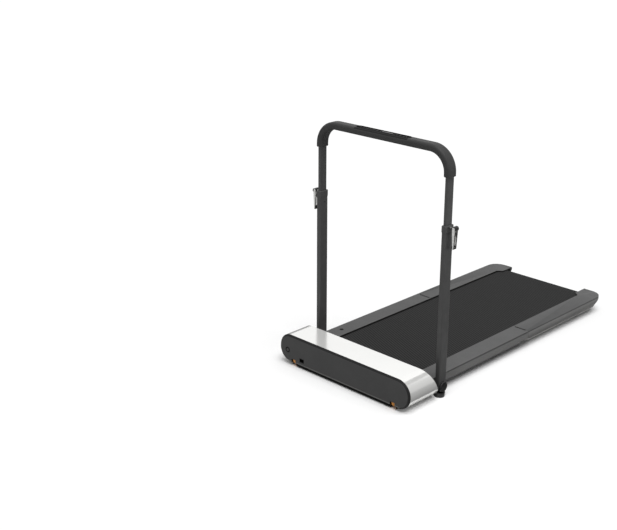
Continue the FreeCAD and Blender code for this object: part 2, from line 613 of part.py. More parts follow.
def make_rail(name, start, end, flared):
    """Moulded side cover: top plate, shadow groove, tucked-under skirt; hollow below."""
    body = new_body(name)

    def outline(sk, inset):
        outer = f"({RAIL_OUTER} - {inset})"
        stop = f"({end} - {inset})" if flared else end
        points = [(RAIL_INNER, start), (outer, start), (outer, stop)]
        if flared:
            points += [(FLARE_INNER, stop),
                       (FLARE_INNER, f"{end} - Dims.flare_length + Dims.flare_run"),
                       (RAIL_INNER, f"{end} - Dims.flare_length")]
        else:
            points += [(RAIL_INNER, stop)]
        polygon(sk, points)

    layers = (("Dims.rail_bottom", "Dims.groove_low", "0"),
              ("Dims.groove_low", "Dims.groove_low + Dims.groove_height", "Dims.groove_inset"),
              ("Dims.groove_low + Dims.groove_height", "Dims.rail_top", "0"))
    for low, high, inset in layers:
        sk = sketch(body, "XY_Plane", along=low)
        outline(sk, inset)
        last = pad(body, sk, f"{high} - ({low})")
    if flared:
        for inset in ("0", "Dims.groove_inset"):
            x = val(f"{RAIL_OUTER} - {inset}")
            y = val(f"{end} - {inset}")
            last = round_edges(body, last, lambda e: flat_at(e, "x", x) and flat_at(e, "y", y),
                               f"Dims.end_corner_radius - {inset}")
    side_x = val(RAIL_OUTER)
    corner = val("Dims.end_corner_radius")

    def outside(edge, level):
        if not flat_at(edge, "z", level):
            return False
        if flat_at(edge, "x", side_x):
            return True
        if not flared:
            return False
        at_end = flat_at(edge, "y", val(end))
        return at_end or abs(edge.Length - math.pi / 2 * corner) < 0.5

    bottom = val("Dims.rail_bottom")
    top = val("Dims.rail_top")
    last = round_edges(body, last, lambda e: outside(e, bottom), "Dims.skirt_round")
    last = round_edges(body, last, lambda e: outside(e, top), "Dims.rail_edge_round")
    skirt = f"({RAIL_OUTER} - Dims.skirt_wall)"
    wide = f"({FLARE_INNER} - 1)"
    open_start = f"({start} - 1)"
    if flared:
        wall_end = f"({end} - Dims.end_wall)"
        bend = f"({end} - Dims.end_corner_radius)"
        far = [(skirt, open_start), (skirt, bend),
               (f"{skirt} - Dims.end_corner_radius + Dims.end_wall + Dims.skirt_wall / 2", wall_end)]
        under = far + [(wide, wall_end), (wide, open_start)]
        flare = f"({end} - Dims.flare_length - Dims.rail_lip)"
        inner = f"({RAIL_INNER} + Dims.rail_lip)"
        over = far + [(wide, wall_end), (wide, flare), (inner, flare), (inner, open_start)]
    else:
        open_end = f"({end} + 1)"
        inner = f"({RAIL_INNER} + Dims.rail_lip)"
        under = [(wide, open_start), (skirt, open_start), (skirt, open_end), (wide, open_end)]
        over = [(inner, open_start), (skirt, open_start), (skirt, open_end), (inner, open_end)]
    for points, height in ((under, f"{BOARD_TOP} - Dims.rail_bottom"),
                           (over, "Dims.rail_top - Dims.rail_plate - Dims.rail_bottom")):
        hollow = sketch(body, "XY_Plane", along="Dims.rail_bottom")
        polygon(hollow, points)
        pocket(body, hollow, height, reverse=True)
    slot = sketch(body, "XY_Plane", along="Dims.rail_top + 1")
    depth = "(Dims.knuckle_radius + Dims.knuckle_relief)"
    rectangle(slot, f"{HINGE_START} - Dims.knuckle_relief",
              f"{HINGE_START} + Dims.hinge_length + Dims.knuckle_relief",
              f"{FOLD} - {depth}", f"{FOLD} + {depth}")
    pocket(body, slot, "Dims.rail_plate + 2")
    if not flared:
        dimple = sketch(body, "XY_Plane", along="Dims.rail_top")
        circle(dimple, SCREW_X, f"{FRONT} + Dims.screw_depth", "Dims.screw_radius + Dims.fit_gap")
        pocket(body, dimple, "Dims.screw_recess")
    return body


def make_rails():
    both_sides(make_rail("FrontRail", f"({FRONT} + Dims.rail_start)", FRONT_END, False), "front_rail")
    both_sides(make_rail("RearRail", REAR_START, REAR, True), "rear_rail")
    floor = "(Dims.rail_top - Dims.screw_recess)"
    head = "(Dims.screw_recess / 2)"
    screw = turned_z("RailScrew", SCREW_X, f"({FRONT} + Dims.screw_depth)", [
        ("0", floor), ("Dims.screw_radius", floor), ("Dims.screw_radius", f"{floor} + {head} / 2"),
        ("Dims.screw_radius - Dims.fit_gap * 2", f"{floor} + {head}"),
        ("Dims.screw_radius / 2", f"{floor} + {head}"), ("Dims.screw_radius / 2", f"{floor} + {head} / 3"),
        ("0", f"{floor} + {head} / 3")])
    keep(group(screw, mirrored(screw)), "rail_screws")


def open_tray(body, start, end):
    """Cut a tray's end walls where the side members and the belt's return run pass."""
    frame = sketch(body, "XZ_Plane", along=f"-({end})")
    for sign in ("", "-"):
        rectangle(frame, f"{sign}({MEMBER_INNER} - Dims.fit_gap)", f"{sign}({MEMBER_OUTER} + Dims.fit_gap)",
                  f"{MEMBER_BOTTOM} - Dims.fit_gap", f"{TRAY_TOP} + 1")
    pocket(body, frame, f"{end} - {start}", reverse=True)
    belt = sketch(body, "XZ_Plane")
    side = f"({BELT_HALF} + Dims.notch_gap)"
    rectangle(belt, f"-{side}", side, f"{ROLLER_Z} - {BELT_R} - Dims.belt_slot_gap",
              f"{ROLLER_Z} - {BELT_INNER_R} + Dims.belt_slot_gap")
    pocket(body, belt)


def make_trays():
    half = TRAY_HALF
    bottom = val("Dims.tray_bottom")
    levels = (("Dims.tray_wall", f"{TRAY_TOP} - Dims.tray_ledge"),
              ("Dims.tray_rim", f"{TRAY_TOP} - Dims.tray_bottom - Dims.tray_floor"))

    front = new_body("FrontTray")
    start = TRAY_START
    end = f"({FOLD} - Dims.tray_fold_inset)"
    sk = sketch(front, "XY_Plane", along="Dims.tray_bottom")
    rounded_rectangle(sk, f"-{half}", half, start, end, "Dims.tray_corner")
    block = pad(front, sk, f"{TRAY_TOP} - Dims.tray_bottom")
    round_edges(front, block, lambda e: flat_at(e, "z", bottom), "Dims.tray_round")
    for wall, depth in levels:
        room = sketch(front, "XY_Plane", along=TRAY_TOP)
        rounded_rectangle(room, f"-{half} + {wall}", f"{half} - {wall}", f"({start} + {wall})",
                          f"({end} - {wall})", f"(Dims.tray_corner - {wall})")
        pocket(front, room, depth)
    open_tray(front, f"({start} - 1)", f"({end} + 1)")
    keep(front, "front_tray")

    rear = new_body("RearTray")
    start = f"({FOLD} + Dims.tray_fold_inset)"
    end = f"({REAR} - Dims.tray_rear_inset)"
    notch = f"({FOLD} + Dims.notch_start)"
    arm = f"({BELT_HALF} + Dims.notch_gap)"
    sk = sketch(rear, "XY_Plane", along="Dims.tray_bottom")
    polygon(sk, [(f"-{half}", start), (half, start), (half, end), (arm, end),
                 (arm, notch), (f"-{arm}", notch), (f"-{arm}", end), (f"-{half}", end)])
    last = pad(rear, sk, f"{TRAY_TOP} - Dims.tray_bottom")
    side = val(half)
    for place, radius in ((start, "Dims.tray_corner"), (end, "Dims.tray_rear_corner")):
        y = val(place)
        last = round_edges(rear, last, lambda e: flat_at(e, "y", y) and
                           (flat_at(e, "x", side) or flat_at(e, "x", -side)), radius)
    arm_x = val(arm)
    notch_y = val(notch)

    def rim(edge):
        if not flat_at(edge, "z", bottom):
            return False
        return not (flat_at(edge, "x", arm_x) or flat_at(edge, "x", -arm_x) or flat_at(edge, "y", notch_y))

    round_edges(rear, last, rim, "Dims.tray_round")
    bend = f"({end} - Dims.tray_rear_corner)"
    for wall, depth in levels:
        room = sketch(rear, "XY_Plane", along=TRAY_TOP)
        rounded_rectangle(room, f"-{half} + {wall}", f"{half} - {wall}", f"({start} + {wall})",
                          f"({notch} + 1)", f"(Dims.tray_corner - {wall})")
        pocket(rear, room, depth)
        arms = sketch(rear, "XY_Plane", along=TRAY_TOP)
        shoulder = f"({half} - Dims.tray_rear_corner + {wall} / 2)"
        corner = f"({notch} - Dims.tray_corner)"
        for sign in ("", "-"):
            polygon(arms, [(f"{sign}({arm} - 1)", corner), (f"{sign}({half} - {wall})", corner),
                           (f"{sign}({half} - {wall})", bend), (f"{sign}{shoulder}", f"{end} - {wall}"),
                           (f"{sign}({arm} - 1)", f"{end} - {wall}")])
        pocket(rear, arms, depth)
    window = sketch(rear, "XY_Plane")
    rounded_rectangle(window, f"-{WINDOW_HALF}", WINDOW_HALF, f"({FOLD} + Dims.window_start)",
                      f"({FOLD} + Dims.window_end)", "Dims.window_corner")
    pocket(rear, window)
    holes = sketch(rear, "XZ_Plane", along=f"-({end} + 1)")
    for sign in ("", "-"):
        circle(holes, f"{sign}({BLOCK_INNER} + Dims.axle_block_width / 2)", TENSION_Z,
               "Dims.adjuster_hole_radius")
    pocket(rear, holes, "Dims.tray_rim", reverse=True)
    open_tray(rear, f"({start} - 1)", f"({REAR_MEMBER_END} + Dims.fit_gap)")
    keep(rear, "rear_tray")


def make_foot(name, place):
    """Round rubber foot under a tray."""
    return turned_z(name, FOOT_X, place, [
        ("0", "0"), ("Dims.foot_radius - Dims.foot_crown", "0"), ("Dims.foot_radius", "Dims.foot_crown"),
        ("Dims.foot_radius", "Dims.tray_bottom"), ("0", "Dims.tray_bottom")])


def make_feet():
    front = make_foot("FrontFoot", f"({FOLD} - Dims.front_foot_inset)")
    keep(group(front, mirrored(front)), "front_feet")
    pairs = []
    for name, place in (("RearFootA", "Dims.rear_foot_start"), ("RearFootB", "Dims.rear_foot_end")):
        foot = make_foot(name, f"({FOLD} + {place})")
        pairs += [foot, mirrored(foot)]
    keep(group(*pairs), "rear_feet")


def make_belt(name, joint, roller_y, turn):
    """Half of the walking belt from the fold's edge round its roller and back; turn is 1 to the rear."""
    body = new_body(name)
    sk = sketch(body, "YZ_Plane")
    low = f"({ROLLER_Z} - {BELT_R})"
    low_in = f"({ROLLER_Z} - {BELT_INNER_R})"
    top_in = f"({ROLLER_Z} + {BELT_INNER_R})"
    spots = {key: V(val(y), val(z), 0) for key, y, z in (
        ("top", joint, "Dims.belt_top"), ("low", joint, low), ("low_in", joint, low_in),
        ("top_in", joint, top_in), ("axis", roller_y, ROLLER_Z))}
    axis = spots["axis"]
    outer_r = val(BELT_R)
    inner_r = val(BELT_INNER_R)
    quarter = math.pi / 2
    sweep = (-quarter, quarter) if turn > 0 else (quarter, 3 * quarter)
    up = V(0, 1, 0)
    lines = [(spots["top"], axis + up * outer_r), (axis - up * outer_r, spots["low"]),
             (spots["low"], spots["low_in"]), (spots["low_in"], axis - up * inner_r),
             (axis + up * inner_r, spots["top_in"]), (spots["top_in"], spots["top"])]
    ids = [sk.addGeometry(Part.LineSegment(a, b)) for a, b in lines]
    outer = sk.addGeometry(Part.ArcOfCircle(Part.Circle(axis, V(0, 0, 1), outer_r), *sweep))
    inner = sk.addGeometry(Part.ArcOfCircle(Part.Circle(axis, V(0, 0, 1), inner_r), *sweep))
    high_end, low_end = (2, 1) if turn > 0 else (1, 2)
    for line, point, arc, arc_point in ((ids[0], 2, outer, high_end), (ids[1], 1, outer, low_end),
                                        (ids[3], 2, inner, low_end), (ids[4], 1, inner, high_end)):
        sk.addConstraint(Sketcher.Constraint("Tangent", line, point, arc, arc_point))
    for a, b in ((1, 2), (2, 3), (4, 5), (5, 0)):
        sk.addConstraint(Sketcher.Constraint("Coincident", ids[a], 2, ids[b], 1))
    for arc, radius in ((outer, BELT_R), (inner, BELT_INNER_R)):
        pin(sk, arc, 3, roller_y, ROLLER_Z)
        set_radius(sk, arc, radius)
    for line, place in ((ids[0], "Dims.belt_top"), (ids[2], low), (ids[3], low_in), (ids[5], top_in)):
        pin(sk, line, 1, joint, place)
    pad(body, sk, f"2 * {BELT_HALF}", symmetric=True)
    return body


def make_belts():
    keep(make_belt("BeltFront", FRONT_END, FRONT_ROLLER_Y, -1), "belt_front")
    keep(make_belt("BeltRear", REAR_START, REAR_ROLLER_Y, 1), "belt_rear")


def make_front_roller():
    """Driven roller: tube with vented end discs on a live shaft, its pulley and its bearing blocks."""
    half = ROLLER_HALF
    shaft = "Dims.shaft_radius"
    disc = f"({half} - Dims.roller_hub)"
    hollow = "(Dims.roller_radius - Dims.roller_wall)"
    roller = turned_x("FrontRoller", FRONT_ROLLER_Y, ROLLER_Z, [
        (DRIVE_X, "0"), (MEMBER_OUTER, "0"), (MEMBER_OUTER, shaft), (half, shaft),
        (half, "Dims.roller_radius"), (f"-{half}", "Dims.roller_radius"), (f"-{half}", shaft),
        (DRIVE_X, shaft)],
        [(f"-{disc}", shaft), (disc, shaft), (disc, hollow), (f"-{disc}", hollow)])
    vents = sketch(roller, "YZ_Plane", across=FRONT_ROLLER_Y, up=ROLLER_Z)
    ring = f"(({shaft} + {hollow}) / 2)"
    for side in (ring, f"-{ring}"):
        circle(vents, side, "0", "(Dims.shaft_radius / 2)")
    pocket(roller, vents)
    keep(roller, "front_roller")
    flange = "(Dims.roller_pulley_radius + Dims.drive_belt_thickness / 2)"
    rim = "(Dims.drive_width / 8)"
    bore = "(Dims.shaft_radius + Dims.running_gap)"
    end = f"({DRIVE_X} + Dims.drive_width)"
    keep(turned_x("DrivePulley", FRONT_ROLLER_Y, ROLLER_Z, [
        (f"{DRIVE_X} - {rim}", bore), (f"{end} + {rim}", bore), (f"{end} + {rim}", flange), (end, flange),
        (end, "Dims.roller_pulley_radius"), (DRIVE_X, "Dims.roller_pulley_radius"),
        (DRIVE_X, flange), (f"{DRIVE_X} - {rim}", flange)]), "drive_pulley")
    block = box(MEMBER_INNER, f"{FRONT} + Dims.member_start - Dims.block_length", MEMBER_BOTTOM,
                "Dims.member_width", "Dims.block_length", "Dims.member_height + Dims.block_rise")
    hole = cylinder("x", f"{MEMBER_INNER} - 1", FRONT_ROLLER_Y, ROLLER_Z, bore, "Dims.member_width + 2")
    bearing = cut(block, hole)
    keep(group(bearing, mirrored(bearing)), "front_bearing_blocks")


def make_rear_roller():
    """Idler roller: tube with a hub at each end, turning on a fixed axle."""
    half = ROLLER_HALF
    hub = f"({half} - Dims.roller_hub)"
    bore = "(Dims.rear_axle_radius + Dims.running_gap)"
    hollow = "(Dims.roller_radius - Dims.roller_wall)"
    keep(turned_x("RearRoller", REAR_ROLLER_Y, ROLLER_Z, [
        (f"-{half}", bore), (f"-{hub}", bore), (f"-{hub}", hollow), (hub, hollow), (hub, bore), (half, bore),
        (half, "Dims.roller_radius"), (f"-{half}", "Dims.roller_radius")]), "rear_roller")
    reach = f"({BLOCK_INNER} + Dims.axle_block_width)"
    axle = cylinder("x", f"-{reach}", REAR_ROLLER_Y, ROLLER_Z, "Dims.rear_axle_radius", f"2 * {reach}")
    keep(axle, "rear_axle")


def make_axle_blocks():
    """Sliding blocks that carry the rear axle's ends, and the bolts that draw them back."""
    block = box(BLOCK_INNER, f"{REAR_ROLLER_Y} - Dims.axle_block_length / 2",
                f"{MEMBER_BOTTOM} + Dims.member_wall + Dims.fit_gap", "Dims.axle_block_width",
                "Dims.axle_block_length", "Dims.member_height - 2 * Dims.member_wall - 2 * Dims.fit_gap")
    hole = cylinder("x", f"{BLOCK_INNER} - 1", REAR_ROLLER_Y, ROLLER_Z,
                    "Dims.rear_axle_radius + Dims.running_gap", "Dims.axle_block_width + 2")
    seat = cut(block, hole)
    keep(group(seat, mirrored(seat)), "axle_blocks")
    bolt = cylinder("y", f"{BLOCK_INNER} + Dims.axle_block_width / 2",
                    f"{REAR_ROLLER_Y} + Dims.axle_block_length / 2", TENSION_Z, "Dims.tension_bolt_radius",
                    "Dims.tension_bolt_length")
    keep(group(bolt, mirrored(bolt)), "tension_bolts")


def make_hinges():
    """Butt hinge under each rail: leaves on the ends of the two frames, barrel in the fold line."""
    knuckles = 5
    pitch = f"(Dims.hinge_length / {knuckles})"

    def leaf(name, plate_start, first):
        body = new_body(name)
        sk = sketch(body, "XZ_Plane", along=f"-({plate_start})")
        right = f"({HINGE_START} + Dims.hinge_length)"
        low = f"({HINGE_Z} - Dims.knuckle_radius - Dims.knuckle_relief)"
        points = [(HINGE_START, "Dims.leaf_bottom"), (right, "Dims.leaf_bottom")]
        for i in reversed(range(knuckles)):
            level = HINGE_Z if i % 2 == first else low
            trim = f"{1 if i % 2 == first else -1} * Dims.knuckle_gap / 2"
            far = right if i == knuckles - 1 else f"({HINGE_START} + {i + 1} * {pitch} - {trim})"
            near = HINGE_START if i == 0 else f"({HINGE_START} + {i} * {pitch} + {trim})"
            points += [(far, level), (near, level)]
        polygon(sk, points)
        pad(body, sk, "Dims.leaf_thickness", reverse=True)
        for i in range(first, knuckles, 2):
            tube = sketch(body, "YZ_Plane", along=f"({HINGE_START} + {i} * {pitch} + Dims.knuckle_gap / 2)")
            circle(tube, FOLD, HINGE_Z, "Dims.knuckle_radius")
            pad(body, tube, f"{pitch} - Dims.knuckle_gap")
        bore = sketch(body, "YZ_Plane")
        circle(bore, FOLD, HINGE_Z, "Dims.pin_radius + Dims.running_gap")
        pocket(body, bore)
        return group(body, mirrored(body))

    keep(leaf("FrontLeaf", LEAF_FRONT, 0), "hinge_leaves_front")
    keep(leaf("RearLeaf", REAR_START, 1), "hinge_leaves_rear")
    rod = cylinder("x", HINGE_START, FOLD, HINGE_Z, "Dims.pin_radius", "Dims.hinge_length")
    keep(group(rod, mirrored(rod)), "hinge_pins")


def make_motor():
    start = MOTOR_START
    end = f"({MOTOR_START} + Dims.motor_length)"
    bore = "(Dims.motor_shaft_radius + Dims.running_gap)"
    bell = "(Dims.motor_radius - Dims.motor_bell_step)"
    can_start = f"({start} + Dims.motor_bell)"
    can_end = f"({end} - Dims.motor_bell)"
    keep(turned_x("Motor", MOTOR_Y, "Dims.motor_z", [
        (start, bore), (can_end, bore), (can_end, "0"), (end, "0"), (end, bell), (can_end, bell),
        (can_end, "Dims.motor_radius"), (can_start, "Dims.motor_radius"), (can_start, bell), (start, bell)]),
        "motor")
    rim = "(Dims.drive_width / 8)"
    flange = "(Dims.motor_pulley_radius + Dims.drive_belt_thickness / 2)"
    tail = f"({can_end} - 1)"
    drive_end = f"({DRIVE_X} + Dims.drive_width)"
    keep(turned_x("MotorRotor", MOTOR_Y, "Dims.motor_z", [
        (f"{DRIVE_X} - {rim}", "0"), (tail, "0"), (tail, "Dims.motor_shaft_radius"),
        (f"{drive_end} + {rim}", "Dims.motor_shaft_radius"), (f"{drive_end} + {rim}", flange),
        (drive_end, flange), (drive_end, "Dims.motor_pulley_radius"), (DRIVE_X, "Dims.motor_pulley_radius"),
        (DRIVE_X, flange), (f"{DRIVE_X} - {rim}", flange)]), "motor_rotor")
    saddle = box(f"{start} + Dims.motor_length / 2 - Dims.mount_width / 2",
                 f"{MOTOR_Y} - Dims.mount_length / 2", SHELL_FLOOR, "Dims.mount_width", "Dims.mount_length",
                 f"Dims.motor_z - Dims.motor_radius + Dims.mount_wrap - {SHELL_FLOOR}")
    seat = cylinder("x", start, MOTOR_Y, "Dims.motor_z", "Dims.motor_radius + Dims.fit_gap",
                    "Dims.motor_length")
    keep(cut(saddle, seat), "motor_mount")
    belt = new_body("DriveBelt")
    sk = sketch(belt, "YZ_Plane", along=f"{DRIVE_X} + Dims.fit_gap")
    centres = [(MOTOR_Y, "Dims.motor_z"), (FRONT_ROLLER_Y, ROLLER_Z)]
    inside = ["(Dims.motor_pulley_radius + Dims.fit_gap)", "(Dims.roller_pulley_radius + Dims.fit_gap)"]
    loop(sk, centres, [f"{radius} + Dims.drive_belt_thickness" for radius in inside])
    loop(sk, centres, inside)
    pad(belt, sk, "Dims.drive_width - 2 * Dims.fit_gap")
    keep(belt, "drive_belt")


def make_control_board():
    y0 = f"({FRONT} + Dims.pcb_depth)"
    z0 = f"({SHELL_FLOOR} + Dims.pcb_lift)"
    top = f"({z0} + Dims.pcb_thickness)"
    pieces = [box(PCB_START, y0, z0, "Dims.pcb_length", "Dims.pcb_width", "Dims.pcb_thickness"),
              box(PCB_START, y0, top, "Dims.sink_length", "Dims.pcb_width / 2", "Dims.sink_height")]
    for step in (1, 2):
        x = f"{PCB_START} + Dims.sink_length + {step} * Dims.capacitor_radius * 3"
        pieces.append(cylinder("z", x, f"{y0} + Dims.pcb_width / 2", top, "Dims.capacitor_radius",
                               "Dims.capacitor_height"))
    post = "(Dims.pcb_lift / 2)"
    for x in (f"{PCB_START} + {post}", f"{PCB_START} + Dims.pcb_length - {post}"):
        for y in (f"{y0} + {post}", f"{y0} + Dims.pcb_width - {post}"):
            pieces.append(cylinder("z", x, y, SHELL_FLOOR, post, "Dims.pcb_lift"))
    keep(fuse(*pieces), "control_board")


def make_handrail_base():
    """Bracket on the side of the frame: cheek and stud for the pivot, foot on the floor, arm to the frame."""
    cheek_x = f"({BASE_OUTER} - Dims.base_cheek)"
    arm_y = f"({PIVOT_Y} - Dims.base_arm_length / 2)"
    foot_y = f"({PIVOT_Y} - Dims.base_foot_advance)"
    cheek = new_body("BaseCheek")
    sk = sketch(cheek, "YZ_Plane", along=cheek_x)
    loop(sk, [(foot_y, "Dims.base_foot_top"), (PIVOT_Y, "Dims.pivot_z")],
         ["(Dims.base_foot_top - Dims.pad_height)", "(Dims.base_top - Dims.pivot_z)"])
    pad(cheek, sk, "Dims.base_cheek")
    arm = box(MEMBER_OUTER, arm_y, MEMBER_BOTTOM, f"{cheek_x} - {MEMBER_OUTER}", "Dims.base_arm_length",
              "Dims.base_arm_height")
    foot = cylinder("z", UPRIGHT_X, foot_y, "Dims.pad_height", "Dims.base_foot_radius",
                    "Dims.base_foot_top - Dims.pad_height")
    stud = cylinder("x", BASE_OUTER, PIVOT_Y, "Dims.pivot_z", "Dims.pivot_radius", "Dims.stud_length")
    both_sides(fuse(cheek, arm, foot, stud), "handrail_base")
    pad_piece = cylinder("z", UPRIGHT_X, foot_y, "0", "Dims.base_foot_radius - Dims.pad_inset",
                         "Dims.pad_height")
    keep(group(pad_piece, mirrored(pad_piece)), "base_foot_pads")


def make_knob():
    """Black lock knob over the end of the pivot stud, with finger flutes round its rim."""
    end = f"({KNOB_START} + Dims.knob_thickness)"
    bore = "(Dims.pivot_radius + Dims.running_gap)"
    stud_end = f"({BASE_OUTER} + Dims.stud_length + Dims.fit_gap)"
    knob = turned_x("LockKnob", PIVOT_Y, "Dims.pivot_z", [
        (KNOB_START, bore), (stud_end, bore), (stud_end, "0"), (end, "0"),
        (end, "Dims.knob_radius - Dims.knob_crown"), (f"{end} - Dims.knob_crown", "Dims.knob_radius"),
        (f"{KNOB_START} + Dims.knob_wall", "Dims.knob_radius"),
        (KNOB_START, "Dims.knob_radius - Dims.knob_wall")])
    flute = sketch(knob, "YZ_Plane", across=PIVOT_Y, up="Dims.pivot_z")
    circle(flute, "0", "Dims.knob_radius + Dims.knob_wall / 2", "Dims.knob_wall")
    groove = pocket(knob, flute)
    ring = knob.newObject("PartDesign::PolarPattern", "FluteRing")
    ring.Originals = [groove]
    ring.Axis = (flute, ["N_Axis"])
    ring.Angle = 360
    ring.Occurrences = 10
    knob.Tip = ring
    doc.recompute()
    both_sides(knob, "lock_knob")


def tube_sketch(body, along, size_x, size_y, radius):
    """Rounded oblong about the right-hand upright's axis."""
    sk = sketch(body, "XY_Plane", along=along)
    rounded_rectangle(sk, f"({UPRIGHT_X} - {size_x} / 2)", f"({UPRIGHT_X} + {size_x} / 2)",
                      f"({PIVOT_Y} - {size_y} / 2)", f"({PIVOT_Y} + {size_y} / 2)", radius)
    return sk


OUTER_X = "Dims.outer_tube_x"
OUTER_Y = "Dims.outer_tube_y"
BORE_X = "(Dims.outer_tube_x - 2 * Dims.outer_tube_wall)"
BORE_Y = "(Dims.outer_tube_y - 2 * Dims.outer_tube_wall)"
BORE_ROUND = "(Dims.outer_tube_round - Dims.outer_tube_wall)"


def make_outer_tubes():
    tube = new_body("OuterTube")
    length = "Dims.outer_tube_top - Dims.outer_tube_start"
    pad(tube, tube_sketch(tube, "Dims.outer_tube_start", OUTER_X, OUTER_Y, "Dims.outer_tube_round"), length)
    pocket(tube, tube_sketch(tube, "Dims.outer_tube_start", BORE_X, BORE_Y, BORE_ROUND))
    both_sides(tube, "outer_tube")

    plug = new_body("PivotPlug")
    eye = sketch(plug, "YZ_Plane", along=EYE_INNER)
    shoulder = "(Dims.outer_tube_start - Dims.eye_radius)"
    loop(eye, [(PIVOT_Y, "Dims.pivot_z"), (PIVOT_Y, shoulder)], ["Dims.eye_radius", "Dims.eye_radius"])
    pad(plug, eye, "Dims.outer_tube_x")
    square = sketch(plug, "YZ_Plane", along=EYE_INNER)
    rectangle(square, f"{PIVOT_Y} - Dims.eye_radius", f"{PIVOT_Y} + Dims.eye_radius", shoulder,
              "Dims.outer_tube_start")
    pad(plug, square, "Dims.outer_tube_x")
    inset = "2 * Dims.slide_gap"
    pad(plug, tube_sketch(plug, "Dims.outer_tube_start", f"({BORE_X} - {inset})", f"({BORE_Y} - {inset})",
                          f"({BORE_ROUND} - Dims.slide_gap)"), "Dims.plug_top - Dims.outer_tube_start")
    hole = sketch(plug, "YZ_Plane")
    circle(hole, PIVOT_Y, "Dims.pivot_z", "Dims.pivot_radius + Dims.running_gap")
    pocket(plug, hole)
    keep(group(plug, mirrored(plug)), "pivot_plugs")


def make_inner_tubes():
    tube = new_body("InnerTube")
    start = "Dims.inner_tube_start"
    wall = "Dims.inner_tube_wall"
    pad(tube, tube_sketch(tube, start, "Dims.inner_tube_x", "Dims.inner_tube_y", "Dims.inner_tube_round"),
        f"{INNER_TUBE_TOP} - {start}")
    pocket(tube, tube_sketch(tube, start, f"(Dims.inner_tube_x - 2 * {wall})",
                             f"(Dims.inner_tube_y - 2 * {wall})", f"(Dims.inner_tube_round - {wall})"))
    keep(group(tube, mirrored(tube)), "inner_tubes")

    glide = new_body("TubeGlide")
    inset = "2 * Dims.slide_gap"
    pad(glide, tube_sketch(glide, f"({start} - Dims.member_wall)", f"({BORE_X} - {inset})",
                           f"({BORE_Y} - {inset})", f"({BORE_ROUND} - Dims.slide_gap)"), "Dims.glide_height")
    socket = tube_sketch(glide, start, "Dims.inner_tube_x", "Dims.inner_tube_y", "Dims.inner_tube_round")
    pocket(glide, socket, "Dims.glide_height", reverse=True)
    keep(group(glide, mirrored(glide)), "tube_glides")


def make_clamps():
    collar = new_body("Collar")
    wall = "2 * Dims.collar_wall"
    gap = "2 * Dims.slide_gap"
    ring = tube_sketch(collar, "Dims.collar_bottom", f"({OUTER_X} + {wall})", f"({OUTER_Y} + {wall})",
                       "(Dims.outer_tube_round + Dims.collar_wall)")
    last = pad(collar, ring, "Dims.collar_top - Dims.collar_bottom")
    top = val("Dims.collar_top")
    round_edges(collar, last, lambda e: flat_at(e, "z", top), "Dims.collar_wall", "Chamfer")
    pocket(collar, tube_sketch(collar, "Dims.collar_bottom", f"({OUTER_X} + Dims.slide_gap)",
                               f"({OUTER_Y} + Dims.slide_gap)", "Dims.outer_tube_round"),
           "Dims.outer_tube_top - Dims.collar_bottom", reverse=True)
    pocket(collar, tube_sketch(collar, "Dims.collar_bottom", f"(Dims.inner_tube_x + {gap})",
                               f"(Dims.inner_tube_y + {gap})", "(Dims.inner_tube_round + Dims.slide_gap)"))
    keep(group(collar, mirrored(collar)), "collars")

    start = f"({UPRIGHT_X} + Dims.outer_tube_x / 2 + Dims.collar_wall)"
    eye_half = "(Dims.lever_fork_gap / 2 - Dims.fit_gap)"
    rod = cylinder("x", start, PIVOT_Y, "Dims.clamp_z", "Dims.clamp_bolt_radius", f"{LEVER_X} - {start}")
    eye = cylinder("y", LEVER_X, f"{PIVOT_Y} - {eye_half}", "Dims.clamp_z",
                   "Dims.clamp_eye_radius", f"2 * {eye_half}")
    pin_hole = cylinder("y", LEVER_X, f"{PIVOT_Y} - Dims.lever_width", "Dims.clamp_z",
                        "Dims.lever_pin_radius + Dims.running_gap", "2 * Dims.lever_width")
    bolt = cut(fuse(rod, eye), pin_hole)
    keep(group(bolt, mirrored(bolt)), "clamp_bolts")


def make_levers():
    """Forked quick-release lever hanging beside the tube, with an oblong slot."""
    lever = new_body("ClampLever")
    half = "(Dims.lever_thickness / 2)"
    low = "(Dims.clamp_z - Dims.lever_length)"
    sk = sketch(lever, "XZ_Plane", along=f"-({PIVOT_Y})")
    loop(sk, [(LEVER_X, "Dims.clamp_z"), (LEVER_X, f"{low} + {half}")], ["Dims.lever_head_radius", half])
    pad(lever, sk, "Dims.lever_width", symmetric=True)
    fork = sketch(lever, "YZ_Plane")
    throat = "(Dims.clamp_z - 2 * Dims.lever_head_radius)"
    rectangle(fork, f"{PIVOT_Y} - Dims.lever_fork_gap / 2", f"{PIVOT_Y} + Dims.lever_fork_gap / 2", throat,
              "Dims.clamp_z + 2 * Dims.lever_head_radius")
    slot_half = "(Dims.lever_slot_width / 2)"
    slot_top = f"({throat} - Dims.lever_slot_width * 2)"
    loop(fork, [(PIVOT_Y, f"{slot_top} - Dims.lever_slot_length"), (PIVOT_Y, slot_top)],
         [slot_half, slot_half])
    pocket(lever, fork)
    rod = sketch(lever, "XZ_Plane", along=f"-({PIVOT_Y})")
    circle(rod, LEVER_X, "Dims.clamp_z", "Dims.lever_pin_radius")
    pad(lever, rod, "Dims.lever_width - Dims.fit_gap", symmetric=True)
    both_sides(lever, "clamp_lever")


